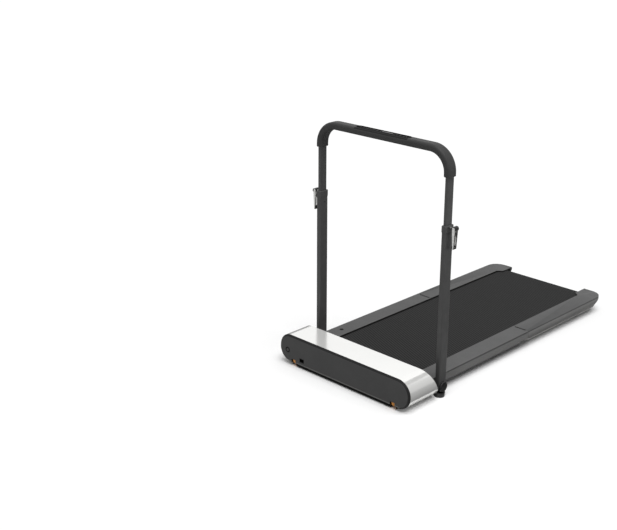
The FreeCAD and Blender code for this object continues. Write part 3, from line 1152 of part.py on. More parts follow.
def make_grip():
    """U-shaped grip: one soft-cornered section swept up, across and down."""
    body = new_body("GripBar")
    x = UPRIGHT_X
    bend = "Dims.grip_bend_radius"
    side = f"({x} - {bend})"
    level = f"(Dims.grip_bar_z - {bend})"
    path = sketch(body, "XZ_Plane", along=f"-({PIVOT_Y})")
    start = V(val(x), val(GRIP_BOTTOM), 0)
    rise = V(val(x), val(level), 0)
    across = V(val(side), val("Dims.grip_bar_z"), 0)
    flip = [V(-p.x, p.y, 0) for p in (start, rise, across)]
    centres = [V(val(side), val(level), 0), V(-val(side), val(level), 0)]
    legs = [path.addGeometry(Part.LineSegment(a, b)) for a, b in (
        (start, rise), (across, flip[2]), (flip[1], flip[0]))]
    arcs = [path.addGeometry(Part.ArcOfCircle(Part.Circle(c, V(0, 0, 1), val(bend)), a, a + math.pi / 2))
            for c, a in zip(centres, (0, math.pi / 2))]
    for line, point, arc, arc_point in ((legs[0], 2, arcs[0], 1), (legs[1], 1, arcs[0], 2),
                                        (legs[1], 2, arcs[1], 1), (legs[2], 1, arcs[1], 2)):
        path.addConstraint(Sketcher.Constraint("Tangent", line, point, arc, arc_point))
    for arc, sign in zip(arcs, ("", "-")):
        pin(path, arc, 3, f"{sign}{side}", level)
        set_radius(path, arc, bend)
    pin(path, legs[0], 1, x, GRIP_BOTTOM)
    pin(path, legs[2], 2, f"-{x}", GRIP_BOTTOM)
    section = tube_sketch(body, GRIP_BOTTOM, "Dims.grip_thickness", "Dims.grip_depth",
                          "Dims.grip_round")
    pipe = body.newObject("PartDesign::AdditivePipe", "GripSweep")
    pipe.Profile = section
    pipe.Spine = (path, [f"Edge{i}" for i in range(1, 6)])
    doc.recompute()
    low = val(GRIP_BOTTOM)
    round_edges(body, pipe, lambda e: flat_at(e, "z", low), "Dims.grip_end_round")
    sockets = sketch(body, "XY_Plane", along=GRIP_BOTTOM)
    gap = "2 * Dims.slide_gap"
    for sign in ("", "-"):
        middle = f"{sign}{UPRIGHT_X}"
        width = f"((Dims.inner_tube_x + {gap}) / 2)"
        depth = f"((Dims.inner_tube_y + {gap}) / 2)"
        rounded_rectangle(sockets, f"({middle} - {width})", f"({middle} + {width})", f"({PIVOT_Y} - {depth})",
                          f"({PIVOT_Y} + {depth})", "(Dims.inner_tube_round + Dims.slide_gap)")
    pocket(body, sockets, "Dims.grip_socket", reverse=True)
    tray = sketch(body, "XY_Plane", along=f"({GRIP_TOP} + 1)")
    half = "(Dims.insert_width / 2 - 0.01)"
    ends = [(f"{sign}(Dims.insert_half_length - {half})", PIVOT_Y) for sign in ("-", "")]
    loop(tray, ends, [half, half])
    pocket(body, tray, "Dims.insert_depth + 1")
    keep(body, "grip_bar")

    insert = new_body("BarInsert")
    sk = sketch(insert, "XY_Plane", along=f"({GRIP_TOP} - Dims.insert_depth)")
    small = f"({half} - Dims.insert_gap)"
    loop(sk, ends, [small, small])
    strip = pad(insert, sk, "Dims.insert_depth - Dims.insert_drop")
    top = val(f"{GRIP_TOP} - Dims.insert_drop")
    round_edges(insert, strip, lambda e: flat_at(e, "z", top), "Dims.insert_gap", "Chamfer")
    keep(insert, "bar_insert")

    lens = new_body("BarLens")
    sk = sketch(lens, "XY_Plane", along=f"({GRIP_TOP} - Dims.insert_drop)")
    end = "(Dims.lens_width / 2)"
    loop(sk, [(f"(Dims.lens_x - Dims.lens_half_length + {end})", PIVOT_Y),
              (f"(Dims.lens_x + Dims.lens_half_length - {end})", PIVOT_Y)], [end, end])
    plate = pad(lens, sk, "Dims.lens_rise")
    crown = val(f"{GRIP_TOP} - Dims.insert_drop + Dims.lens_rise")
    round_edges(lens, plate, lambda e: flat_at(e, "z", crown), "Dims.lens_rise / 2", "Chamfer")
    keep(lens, "bar_lens")


make_shell()
make_panel()
make_button()
make_inlet()
make_rear_cover()
make_base_pan()
make_wheels()
make_members()
make_boards()
make_rails()
make_trays()
make_feet()
make_belts()
make_front_roller()
make_rear_roller()
make_axle_blocks()
make_hinges()
make_motor()
make_control_board()
make_handrail_base()
make_knob()
make_outer_tubes()
make_inner_tubes()
make_clamps()
make_levers()
make_grip()

doc.recompute()
failed = [o.Label for o in doc.Objects if "Invalid" in o.State or "Error" in o.State]
failed += [o.Label for o in NODES if o.Shape.isNull() or not o.Shape.isValid()]
if failed:
    raise RuntimeError("failed: " + ", ".join(failed))

os.makedirs("parts", exist_ok=True)
for node in NODES:
    node.Shape.exportStep(f"parts/{node.Label}.step")
print(len(NODES), "sub-parts written")
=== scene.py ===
import math

import bmesh
import bpy
from bpy.props import FloatProperty, FloatVectorProperty, PointerProperty
from mathutils import Matrix, Vector


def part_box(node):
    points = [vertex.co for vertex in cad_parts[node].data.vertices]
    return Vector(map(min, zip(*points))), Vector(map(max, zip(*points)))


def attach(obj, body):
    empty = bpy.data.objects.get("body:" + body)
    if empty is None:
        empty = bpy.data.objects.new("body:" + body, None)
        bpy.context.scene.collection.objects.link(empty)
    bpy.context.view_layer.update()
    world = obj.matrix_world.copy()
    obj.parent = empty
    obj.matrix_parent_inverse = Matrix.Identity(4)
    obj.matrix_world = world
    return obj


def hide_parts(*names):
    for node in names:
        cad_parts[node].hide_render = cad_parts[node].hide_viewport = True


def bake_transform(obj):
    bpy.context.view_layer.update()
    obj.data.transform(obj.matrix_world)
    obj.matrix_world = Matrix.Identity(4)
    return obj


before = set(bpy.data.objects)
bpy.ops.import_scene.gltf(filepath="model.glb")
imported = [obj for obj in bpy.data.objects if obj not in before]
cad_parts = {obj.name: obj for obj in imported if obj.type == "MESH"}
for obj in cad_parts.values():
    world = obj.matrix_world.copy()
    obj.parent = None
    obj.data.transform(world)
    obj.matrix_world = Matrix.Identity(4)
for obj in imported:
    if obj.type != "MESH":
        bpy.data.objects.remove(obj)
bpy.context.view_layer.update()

bl_info = {
    "name": "Folding walking pad",
    "version": (1, 0, 0),
    "blender": (4, 5, 0),
    "location": "View3D > Sidebar > Walking Pad",
    "description": "Finishes, belt, fasteners and trim of a folding walking pad",
    "category": "Object",
}

MM = 0.001
SIDES = {"left": -1.0, "right": 1.0}


def shade(code):
    """Linear colour of a six-digit hexadecimal shade."""
    parts = [int(code[i:i + 2], 16) / 255 for i in (0, 2, 4)]
    return tuple(p / 12.92 if p <= 0.04045 else ((p + 0.055) / 1.055) ** 2.4 for p in parts)


# Settings

def colour_setting(name, description, code):
    """Colour that the user may change."""
    return FloatVectorProperty(name=name, description=description, default=shade(code), subtype="COLOR",
                               size=3, min=0.0, max=1.0)


def length_setting(name, description, millimetres):
    """Length that the user may change."""
    return FloatProperty(name=name, description=description, default=millimetres * MM, min=0.0,
                         unit="LENGTH", precision=5)


def angle_setting(name, description, degrees):
    """Angle that the user may change."""
    return FloatProperty(name=name, description=description, default=math.radians(degrees), subtype="ANGLE")


class PadFinishes(bpy.types.PropertyGroup):
    """Colours of the pad's finishes."""
    shell: colour_setting("Shell", "Satin silver of the motor housing", "f4f4f2")
    panel: colour_setting("Panel", "Moulded charcoal of the front panel", "404040")
    bevel: colour_setting("Panel rim", "Dark rim of the front panel", "0b0b0b")
    # The panel lip colour is a painted highlight: light caught along the panel's lower edge.
    lip_highlight: colour_setting("Panel lip", "Pale line along the panel's lower edge", "7a7a78")
    rail: colour_setting("Rails", "Moulded grey of the side rails", "4e4e4e")
    # The skirt colour is a painted sheen: the rails' sides are painted paler than their tops for the light
    # that falls on them.
    skirt_sheen: colour_setting("Rail skirts", "Paler grey of the rails below their groove", "646463")
    belt: colour_setting("Belt", "Rubber of the walking belt", "2b2b2b")
    tube: colour_setting("Tubes", "Powder coat of the handrail tubes", "494949")
    grip: colour_setting("Grip", "Soft foam of the grip bar", "3a3a3a")
    black: colour_setting("Black plastic", "Front tray, knobs, glides and lever caps", "151515")
    # On the rails' inner edges this black is painted shade in the gap beside the belt.
    pitch: colour_setting("Matt black", "Button, inlet, pan, strip insert and rails' inner edges", "0a0a0a")
    tray: colour_setting("Trays", "Painted silver plastic of the rear tray", "cfcfcd")
    steel: colour_setting("Steel", "Bright steel of levers, bolts and rollers", "c9c9c7")
    frame_coat: colour_setting("Frame coat", "Black powder coat of the steel frame", "1d1d1d")
    wheel: colour_setting("Wheels", "Orange of the transport wheels", "ffa62a")
    rubber: colour_setting("Rubber", "Feet and drive belt", "161616")
    board: colour_setting("Deck board", "Sealed fibre board of the deck", "8a6f50")
    # The board film colour is painted shade: the boards' tops show only in the dark gap beside the belt.
    top_shade: colour_setting("Board film", "Black film on top of the deck boards", "141414")
    circuit: colour_setting("Circuit board", "Solder mask of the control board", "14482a")


class PadSizes(bpy.types.PropertyGroup):
    """Sizes of the belt's ribs, the fasteners and the trim."""
    rib_pitch: length_setting("Rib pitch", "Distance from one belt rib to the next", 5.0)
    rib_height: length_setting("Rib height", "Height of a belt rib", 0.2)
    fold_reach: length_setting("Fold reach", "Length of belt that bends on each side of the fold", 10.0)
    tube_screw: length_setting("Tube screw", "Radius of the screw heads on the uprights", 3.2)
    rail_screw: length_setting("Rail screw", "Radius of the screw heads on the front rails", 9.0)
    tray_screw: length_setting("Tray screw", "Radius of the screw heads under the pan and trays", 3.6)
    button_dish: length_setting("Button dish", "Radius of the hollow in the push button", 6.8)
    insert_rib: length_setting("Insert rib", "Distance between the ribs of the strip insert", 17.0)
    insert_rim: length_setting("Insert rim", "Height of the strip insert's rim above the grip", 1.6)
    lever_cap: length_setting("Lever cap", "Thickness of the cap over a lever's head", 2.6)
    lever_pad: length_setting("Lever pad", "Length of the stop pad on a lever's inner side", 16.0)
    end_reach: length_setting("Rail end", "Length over which a rear rail's end rises", 55.0)
    tread_pitch: length_setting("Tread pitch", "Distance between the slanting lines of the tread", 11.6)


class PadStage(bpy.types.PropertyGroup):
    """Camera, floor and light."""
    lens: FloatProperty(name="Lens", description="Focal length", default=64.08, min=1.0, unit="CAMERA")
    turn: angle_setting("Turn", "Camera's turn round the pad", 45.05)
    rise: angle_setting("Rise", "Camera's angle above the floor", 20.21)
    spot: FloatVectorProperty(name="Spot", description="Camera's place", default=(2.7514, -3.6716, 2.0071),
                              subtype="TRANSLATION", size=3)
    floor: length_setting("Floor", "Width of the floor", 90000.0)
    floor_seen: FloatProperty(name="Floor seen", description="Paleness of the floor as it is seen",
                              default=0.98, min=0.0, max=1.0)
    floor_bounce: FloatProperty(name="Floor bounce", description="Share of light the floor throws back",
                                default=0.36, min=0.0, max=1.0)
    sky: FloatProperty(name="Sky", description="Level of the light from all round", default=0.34, min=0.0)
    lamp: FloatProperty(name="Lamp", description="Level of the overhead light on the floor", default=0.72,
                        min=0.0)
    lamp_size: angle_setting("Lamp size", "Apparent size of the overhead light", 46.0)
    lamp_lean: FloatVectorProperty(name="Lamp lean", description="Direction towards the overhead light",
                                   default=(0.27, -0.12, 1.0), subtype="DIRECTION", size=3)
    side_lamp: FloatProperty(name="Side lamp", description="Power of the lamp beside the right upright",
                             default=1.0, min=0.0)


# Finishes

EVEN = (1.0, 1.0, 1.0)
COAT_ROUGHNESS = 0.12
NOISE_LOW, NOISE_HIGH = 0.3, 0.7  # range that cloudy noise fills for the most part
WAVE_LENGTH = math.tau / 20.0  # distance between the bands of a wave texture at scale one


def bare_tree(owner):
    """Empty node tree of a material or world."""
    owner.use_nodes = True
    owner.node_tree.nodes.clear()
    return owner.node_tree


class Finish:
    """Node material: a principled shader with grain in its colour, gloss and relief."""

    def __init__(self, name, metallic=0.0, specular=0.5, coat=0.0):
        self.material = bpy.data.materials.new(name)
        self.tree = bare_tree(self.material)
        output = self.add("ShaderNodeOutputMaterial")
        self.shader = self.add("ShaderNodeBsdfPrincipled", **{
            "Metallic": metallic, "Specular IOR Level": specular,
            "Coat Weight": coat, "Coat Roughness": COAT_ROUGHNESS})
        self.link(self.shader.outputs["BSDF"], output.inputs["Surface"])
        self.place = self.add("ShaderNodeTexCoord")
        self.bump = None

    def add(self, kind, **values):
        """Node of a kind, with values set on its inputs."""
        node = self.tree.nodes.new(kind)
        for socket, value in values.items():
            node.inputs[socket].default_value = value
        return node

    def link(self, source, target):
        self.tree.links.new(source, target)

    def spaced(self, stretch=EVEN, source="Object"):
        """Coordinates on the piece, stretched along its axes."""
        mapping = self.add("ShaderNodeMapping", Scale=stretch)
        self.link(self.place.outputs[source], mapping.inputs["Vector"])
        return mapping.outputs["Vector"]

    def grain(self, scale, detail=3.0, stretch=EVEN, source="Object"):
        """Cloudy noise; scale counts its features in a metre."""
        noise = self.add("ShaderNodeTexNoise", Scale=scale, Detail=detail)
        self.link(self.spaced(stretch, source), noise.inputs["Vector"])
        return noise.outputs["Fac"]

    def cells(self, scale):
        """Pebbled noise; scale counts its cells in a metre."""
        pebbles = self.add("ShaderNodeTexVoronoi", Scale=scale)
        self.link(self.spaced(), pebbles.inputs["Vector"])
        return pebbles.outputs["Distance"]

    def bands(self, pitch, tilt, source):
        """Even bands with a pitch in metres, tilted from the X of their coordinates."""
        mapping = self.add("ShaderNodeMapping", Rotation=(0.0, 0.0, tilt))
        self.link(self.place.outputs[source], mapping.inputs["Vector"])
        wave = self.add("ShaderNodeTexWave", Scale=WAVE_LENGTH / pitch)
        self.link(mapping.outputs["Vector"], wave.inputs["Vector"])
        return wave.outputs["Fac"]

    def beyond(self, axis, start, stop):
        """Mask that goes from zero to one between two places along an axis of the piece, either way."""
        parts = self.add("ShaderNodeSeparateXYZ")
        self.link(self.place.outputs["Object"], parts.inputs["Vector"])
        span = self.add("ShaderNodeMapRange", **{"From Min": start, "From Max": stop})
        self.link(parts.outputs[axis], span.inputs["Value"])
        return span.outputs["Result"]

    def both(self, one, other):
        """Mask that is one where two masks are."""
        product = self.add("ShaderNodeMath")
        product.operation = "MULTIPLY"
        self.link(one, product.inputs[0])
        self.link(other, product.inputs[1])
        return product.outputs["Value"]

    def between(self, axis, low, high, blur):
        """Mask that is one from a low to a high place along an axis of the piece."""
        return self.both(self.beyond(axis, low - blur, low + blur),
                         self.beyond(axis, high + blur, high - blur))

    def masked(self, mask, under, over):
        """Shades, the second lying over the first where the mask is one."""
        mix = self.add("ShaderNodeMix")
        mix.data_type = "RGBA"
        sockets = {socket.identifier: socket for socket in mix.inputs}
        self.link(mask, sockets["Factor_Float"])
        self.link(under, sockets["A_Color"])
        self.link(over, sockets["B_Color"])
        result = {socket.identifier: socket for socket in mix.outputs}["Result_Color"]
        self.link(result, self.shader.inputs["Base Color"])
        return result

    def colour(self, factor, base, dark, light, start=0.35, stop=0.65):
        """Colour that runs from a dark to a light share of its base with the factor."""
        ramp = self.add("ShaderNodeValToRGB")
        for mark, place, share in zip(ramp.color_ramp.elements, (start, stop), (dark, light)):
            mark.position = place
            mark.color = (*(min(1.0, part * share) for part in base), 1.0)
        self.link(factor, ramp.inputs["Fac"])
        self.link(ramp.outputs["Color"], self.shader.inputs["Base Color"])
        return ramp.outputs["Color"]

    def gloss(self, factor, low, high):
        """Roughness that runs from low to high with the factor."""
        span = self.add("ShaderNodeMapRange", **{
            "From Min": NOISE_LOW, "From Max": NOISE_HIGH, "To Min": low, "To Max": high})
        self.link(factor, span.inputs["Value"])
        self.link(span.outputs["Result"], self.shader.inputs["Roughness"])

    def relief(self, height, depth, strength):
        """Relief of a depth in metres; further calls lie on top."""
        bump = self.add("ShaderNodeBump", Strength=strength, Distance=depth)
        self.link(height, bump.inputs["Height"])
        if self.bump is not None:
            self.link(self.bump.outputs["Normal"], bump.inputs["Normal"])
        self.link(bump.outputs["Normal"], self.shader.inputs["Normal"])
        self.bump = bump

    def spark_skin(self, rough_low, rough_high):
        """Gloss and relief of plastic from a spark-eroded mould."""
        self.gloss(self.grain(220.0), rough_low, rough_high)
        self.relief(self.grain(1400.0, 2.0), 0.06 * MM, 0.6)


def silver_shell(name, colours):
    """Satin silver with fine lines brushed across the housing."""
    f = Finish(name, metallic=0.42)
    lines = f.grain(60.0, 4.0, (1.0, 40.0, 40.0))
    f.colour(f.grain(9.0), colours.shell, 0.985, 1.0)
    f.gloss(lines, 0.12, 0.17)
    f.relief(lines, 0.02 * MM, 0.35)
    return f


def moulded(colour_name, specular, rough_low, rough_high):
    """Maker of a moulded plastic with a fine spark grain."""
    def make(name, colours):
        f = Finish(name, specular=specular)
        f.colour(f.grain(14.0, 5.0), getattr(colours, colour_name), 0.94, 1.05)
        f.spark_skin(rough_low, rough_high)
        return f
    return make


def rimmed_panel(name, colours):
    """Moulded plastic of the front panel, with a dark rim and a painted highlight along its lower edge."""
    f = Finish(name, specular=0.25)
    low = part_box("front_panel")[0]
    rim = f.beyond("Y", low.y + 0.4 * MM, low.y + 1.0 * MM)
    # Painted highlight: a pale band along the face's lower edge stands in for light caught there.
    lip_highlight = f.beyond("Z", low.z + 12.2 * MM, low.z + 11.4 * MM)
    cloud = f.grain(14.0, 5.0)
    flat = f.colour(cloud, colours.panel, 0.94, 1.05)
    pale = f.colour(cloud, colours.lip_highlight, 0.9, 1.1)
    edge = f.colour(cloud, colours.bevel, 0.9, 1.1)
    f.masked(rim, f.masked(lip_highlight, flat, pale), edge)
    f.spark_skin(0.46, 0.56)
    return f


def rail_with_painted_light(name, colours):
    """Moulded plastic of the side rails, painted paler below the groove as a sheen of light on their sides,
    and painted black along the belt as the shade beside it.
    """
    f = Finish(name, specular=0.35)
    low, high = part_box("front_rail_right")
    top, inner = high.z, low.x + 1.0 * MM
    cloud = f.grain(14.0, 5.0)
    cover = f.colour(cloud, colours.rail, 0.94, 1.05)
    skirt_sheen = f.colour(cloud, colours.skirt_sheen, 0.95, 1.04)
    edge = f.colour(cloud, colours.pitch, 0.9, 1.1)
    # Painted sheen: the rails' sides below the groove take the paler skirt colour.
    sheen_below_groove = f.beyond("Z", top - 5.2 * MM, top - 5.8 * MM)
    below_top = f.beyond("Z", top - 0.4 * MM, top - 0.8 * MM)
    # Painted shade: the rails' inner edges below their top are black, for the shade in the gap beside the
    # belt.
    shade_beside_belt = f.both(f.between("X", -inner, inner, 0.5 * MM), below_top)
    f.masked(shade_beside_belt, f.masked(sheen_below_groove, cover, skirt_sheen), edge)
    f.spark_skin(0.5, 0.6)
    return f


def belt_rubber(name, colours):
    """Dull rubber with a tread of fine slanting lines, painted darker in the grooves and lighter on the
    crests as shade and light of the tread.
    """
    f = Finish(name, specular=0.12)
    tread = f.bands(bpy.context.scene.pad_sizes.tread_pitch, math.radians(-68.1), "UV")
    # Painted shade and light: the tread's grooves are darker and its crests lighter.
    f.colour(tread, colours.belt, 0.65, 1.35, 0.2, 0.8)
    f.relief(tread, 0.3 * MM, 0.4)
    f.gloss(f.grain(300.0, source="UV"), 0.78, 0.9)
    f.relief(f.grain(1600.0, 2.0, source="UV"), 0.1 * MM, 0.5)
    return f


def powder_coat(colour_name, rough_low, rough_high, specular=0.5):
    """Maker of a powder coat with its orange-peel ripple."""
    def make(name, colours):
        f = Finish(name, specular=specular)
        peel = f.grain(420.0, 1.0)
        f.colour(f.grain(18.0, 4.0), getattr(colours, colour_name), 0.93, 1.06)
        f.gloss(peel, rough_low, rough_high)
        f.relief(peel, 0.08 * MM, 0.35)
        return f
    return make


def grip_foam(name, colours):
    """Soft foam skin with closed pores, black beside the strip insert."""
    f = Finish(name, specular=0.22)
    low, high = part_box("bar_insert")
    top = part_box("grip_bar")[1].z
    cloud = f.grain(30.0, 4.0)
    foam = f.colour(cloud, colours.grip, 0.92, 1.08)
    black = f.colour(cloud, colours.pitch, 0.5, 0.6)
    along = f.between("X", low.x - 0.5 * MM, high.x + 0.5 * MM, 0.5 * MM)
    f.masked(f.both(along, f.beyond("Z", top - 6.0 * MM, top - 5.5 * MM)), foam, black)
    f.gloss(f.grain(260.0), 0.5, 0.62)
    f.relief(f.cells(1500.0), 0.12 * MM, 0.35)
    return f


def painted_tray(name, colours):
    """Silver paint on moulded plastic, with fine flakes and painted shade on the flanks below the rails."""
    f = Finish(name, metallic=0.1, specular=0.25)
    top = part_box("rear_tray")[1].z
    flakes = f.cells(2600.0)
    paint = f.colour(flakes, colours.tray, 0.95, 1.0, 0.1, 0.7)
    shade_below_rails = f.colour(flakes, colours.tray, 0.14, 0.18, 0.1, 0.7)
    # Painted shade: the upper flank, tucked under the rails, is darkened to stand in for the shade there.
    f.masked(f.beyond("Z", top - 16.0 * MM, top - 14.0 * MM), paint, shade_below_rails)
    f.gloss(f.grain(160.0), 0.34, 0.42)
    f.relief(f.grain(900.0, 2.0), 0.04 * MM, 0.4)
    return f


def bright_steel(name, colours):
    """Brushed steel with drawn lines and faint stains."""
    f = Finish(name, metallic=1.0)
    lines = f.grain(900.0, 3.0, (0.04, 1.0, 1.0))
    f.colour(f.grain(40.0, 4.0), colours.steel, 0.86, 1.0)
    f.gloss(lines, 0.22, 0.36)
    f.relief(lines, 0.03 * MM, 0.4)
    return f


def cast_lever(name, colours):
    """Polished cast metal of the quick-release levers."""
    f = Finish(name, metallic=1.0)
    f.colour(f.grain(120.0, 4.0), colours.steel, 0.7, 0.95)
    f.gloss(f.grain(240.0), 0.2, 0.3)
    f.relief(f.grain(800.0, 2.0), 0.05 * MM, 0.25)
    return f


def orange_wheel(name, colours):
    """Tough moulded plastic with scuffs round the tread."""
    f = Finish(name)
    scuffs = f.grain(240.0, 6.0, (3.0, 1.0, 1.0))
    f.colour(scuffs, colours.wheel, 0.92, 1.0)
    f.gloss(scuffs, 0.25, 0.4)
    f.relief(f.grain(1100.0, 2.0), 0.05 * MM, 0.5)
    return f


def dull_rubber(name, colours):
    """Moulded rubber with a pebbled skin and a little bloom."""
    f = Finish(name, specular=0.25)
    f.colour(f.grain(60.0, 5.0), colours.rubber, 0.85, 1.2)
    f.gloss(f.grain(300.0), 0.6, 0.78)
    f.relief(f.cells(900.0), 0.15 * MM, 0.3)
    return f


def fibre_board(name, colours):
    """Pressed fibre board whose top is painted black as the shade in the gap beside the belt."""
    f = Finish(name, specular=0.2)
    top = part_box("front_deck_board")[1].z
    fibres = f.grain(260.0, 8.0, (1.0, 0.25, 1.0))
    core = f.colour(fibres, colours.board, 0.8, 1.12)
    top_shade = f.colour(fibres, colours.top_shade, 0.9, 1.1)
    # Painted shade: the board's top is black for the shade in the gap between rail and belt.
    f.masked(f.beyond("Z", top - 1.0 * MM, top - 0.8 * MM), core, top_shade)
    f.gloss(fibres, 0.55, 0.7)
    f.relief(fibres, 0.2 * MM, 0.4)
    return f


def circuit_board(name, colours):
    """Solder mask over copper tracks."""
    f = Finish(name, coat=0.3)
    bricks = f.add("ShaderNodeTexBrick", **{"Scale": 90.0, "Mortar Size": 0.09})
    f.link(f.spaced(), bricks.inputs["Vector"])
    tracks = bricks.outputs["Fac"]
    f.colour(tracks, colours.circuit, 1.0, 1.7, 0.2, 0.8)
    f.gloss(f.grain(300.0), 0.25, 0.35)
    f.relief(tracks, 0.05 * MM, 0.5)
    return f


def smoked_lens(name, colours):
    """Smoked glossy lens with a faint ripple."""
    f = Finish(name, specular=0.3, coat=0.05)
    ripple = f.grain(80.0, 1.0)
    f.colour(ripple, colours.black, 0.7, 1.1)
    f.gloss(ripple, 0.14, 0.22)
    f.relief(ripple, 0.02 * MM, 0.2)
    return f


FINISHES = {
    "silver_shell": silver_shell,
    "charcoal_panel": moulded("panel", 0.25, 0.46, 0.56),
    "rimmed_panel": rimmed_panel,
    "grey_rail": rail_with_painted_light,
    "silver_plastic": painted_tray,
    "belt_rubber": belt_rubber,
    "black_steel": powder_coat("frame_coat", 0.42, 0.55),
    "charcoal_tube": powder_coat("tube", 0.42, 0.52, 0.28),
    "grip_foam": grip_foam,
    "black_plastic": moulded("black", 0.45, 0.36, 0.48),
    "matt_black": moulded("pitch", 0.15, 0.6, 0.74),
    "gloss_lens": smoked_lens,
    "steel": bright_steel,
    "lever_metal": cast_lever,
    "orange_wheel": orange_wheel,
    "black_rubber": dull_rubber,
    "motor_metal": powder_coat("frame_coat", 0.3, 0.42),
    "board_wood": fibre_board,
    "board_green": circuit_board,
}
MADE = {}


def finish_of(name):
    """Finish of that name, made on its first use."""
    if name not in MADE:
        MADE[name] = FINISHES[name](f"{name}_finish", bpy.context.scene.pad_finishes).material
    return MADE[name]


def dress(finish, *nodes):
    """Gives solids their finish."""
    for name in nodes:
        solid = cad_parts[name]
        if not solid.material_slots:
            solid.data.materials.append(finish_of(finish))
        for slot in solid.material_slots:
            slot.material = finish_of(finish)


# Mesh pieces

SHARP_ANGLE = math.radians(35.0)  # edges that turn by more stay sharp on a smooth piece
WELD = 0.001 * MM  # points nearer than this are one
SLIVER = 0.005 * MM  # a cut shape's edges shorter than this go
SCREW_HEIGHT = 1.0 * MM
SCREW_SINK = 0.2 * MM  # depth of a head's seat in the pan or a tray


def placed(name, data):
    """Object of that name, linked to the scene."""
    thing = bpy.data.objects.new(name, data)
    bpy.context.scene.collection.objects.link(thing)
    return thing


def piece(name, shape, finish, body=None, smooth=True):
    """Object from a bmesh, with its finish, on the body that carries it."""
    mesh = bpy.data.meshes.new(name)
    bmesh.ops.recalc_face_normals(shape, faces=shape.faces)
    for face in shape.faces:
        face.smooth = smooth
    shape.to_mesh(mesh)
    shape.free()
    if smooth:
        mesh.set_sharp_from_angle(angle=SHARP_ANGLE)
    thing = placed(name, mesh)
    mesh.materials.append(finish_of(finish))
    if body is not None:
        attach(thing, body)
    return thing


def towards(axis, spot):
    """Matrix that stands a piece's +Z along an axis, at a spot."""
    turn = Vector((0, 0, 1)).rotation_difference(Vector(axis))
    return Matrix.Translation(spot) @ turn.to_matrix().to_4x4()


def circle(radius, steps):
    """Points (x, y) round a circle, or its centre alone where the radius is zero."""
    if radius == 0:
        return [(0.0, 0.0)]
    turns = [math.tau * i / steps for i in range(steps)]
    return [(radius * math.cos(turn), radius * math.sin(turn)) for turn in turns]


def skin(shape, rings, steps):
    """Faces from each ring of points to the next; a ring may be a single point."""
    for inner, outer in zip(rings, rings[1:]):
        for i in range(steps):
            j = (i + 1) % steps
            corners = [inner[i % len(inner)], inner[j % len(inner)],
                       outer[j % len(outer)], outer[i % len(outer)]]
            shape.faces.new(list(dict.fromkeys(corners)))


def lathe(shape, profile, matrix, steps=40):
    """Turns a profile of (radius, height) pairs round +Z into the bmesh."""
    rings = [[shape.verts.new(matrix @ Vector((x, y, height))) for x, y in circle(radius, steps)]
             for radius, height in profile]
    skin(shape, rings, steps)


def cross_head(shape, radius, height, matrix, steps=48, rings=10):
    """Domed screw head with a cross recess, added to the bmesh."""
    arm, reach, depth, dome = radius * 0.17, radius * 0.58, height * 0.75, 0.8
    grid = []
    for k in range(rings + 1):
        crown = height * math.sqrt(1.0 - dome * (k / rings) ** 2)
        ring = []
        for x, y in circle(radius * k / rings, steps):
            recessed = min(abs(x), abs(y)) < arm and max(abs(x), abs(y)) < reach
            ring.append(shape.verts.new(matrix @ Vector((x, y, crown - depth if recessed else crown))))
        grid.append(ring)
    grid.append([shape.verts.new(matrix @ Vector((x, y, -height))) for x, y in circle(radius, steps)])
    skin(shape, grid, steps)
    shape.faces.new(grid[-1])


def screws(name, places, radius, height, finish, body):
    """Group of like screws; each place is a spot and the direction that its head looks in."""
    shape = bmesh.new()
    for spot, axis in places:
        cross_head(shape, radius, height, towards(axis, spot))
    return piece(name, shape, finish, body)


def extrude(shape, outline, start, stop):
    """Prism of an outline of (x, z) pairs, from one Y to another, in the bmesh."""
    ends = [[shape.verts.new((x, y, z)) for x, z in outline] for y in (start, stop)]
    for i in range(len(outline)):
        j = (i + 1) % len(outline)
        shape.faces.new((ends[0][i], ends[0][j], ends[1][j], ends[1][i]))
    for end in ends:
        shape.faces.new(end)


def shared(shape, block):
    """What two closed shapes have in common."""
    things = []
    for part in (shape, block):
        mesh = bpy.data.meshes.new("part")
        part.to_mesh(mesh)
        part.free()
        things.append(placed("part", mesh))
    trim = things[0].modifiers.new("trim", "BOOLEAN")
    trim.operation = "INTERSECT"
    trim.solver = "EXACT"
    trim.object = things[1]
    trimmed = things[0].evaluated_get(bpy.context.evaluated_depsgraph_get())
    result = bmesh.new()
    result.from_mesh(trimmed.to_mesh())
    trimmed.to_mesh_clear()
    bmesh.ops.remove_doubles(result, verts=result.verts, dist=SLIVER)
    bmesh.ops.dissolve_degenerate(result, edges=result.edges, dist=SLIVER)
    for thing in things:
        bpy.data.meshes.remove(thing.data)
    return result


# Stage

SENSOR_WIDTH = 36.0
CAMERA_RANGE = 200.0
LAMP_SPOT = (0.0, 0.0, 4.0)
SIDE_LAMP_SIZE = (0.2, 0.4)
SIDE_LAMP_SPOT = (0.8, -0.35, 0.75)
SIDE_LAMP_LEAN = (0.47, 0.16, 0.15)  # from the right upright towards the lamp
RAYS_PAST_FLAGS = ("camera", "diffuse", "transmission", "volume_scatter", "shadow")

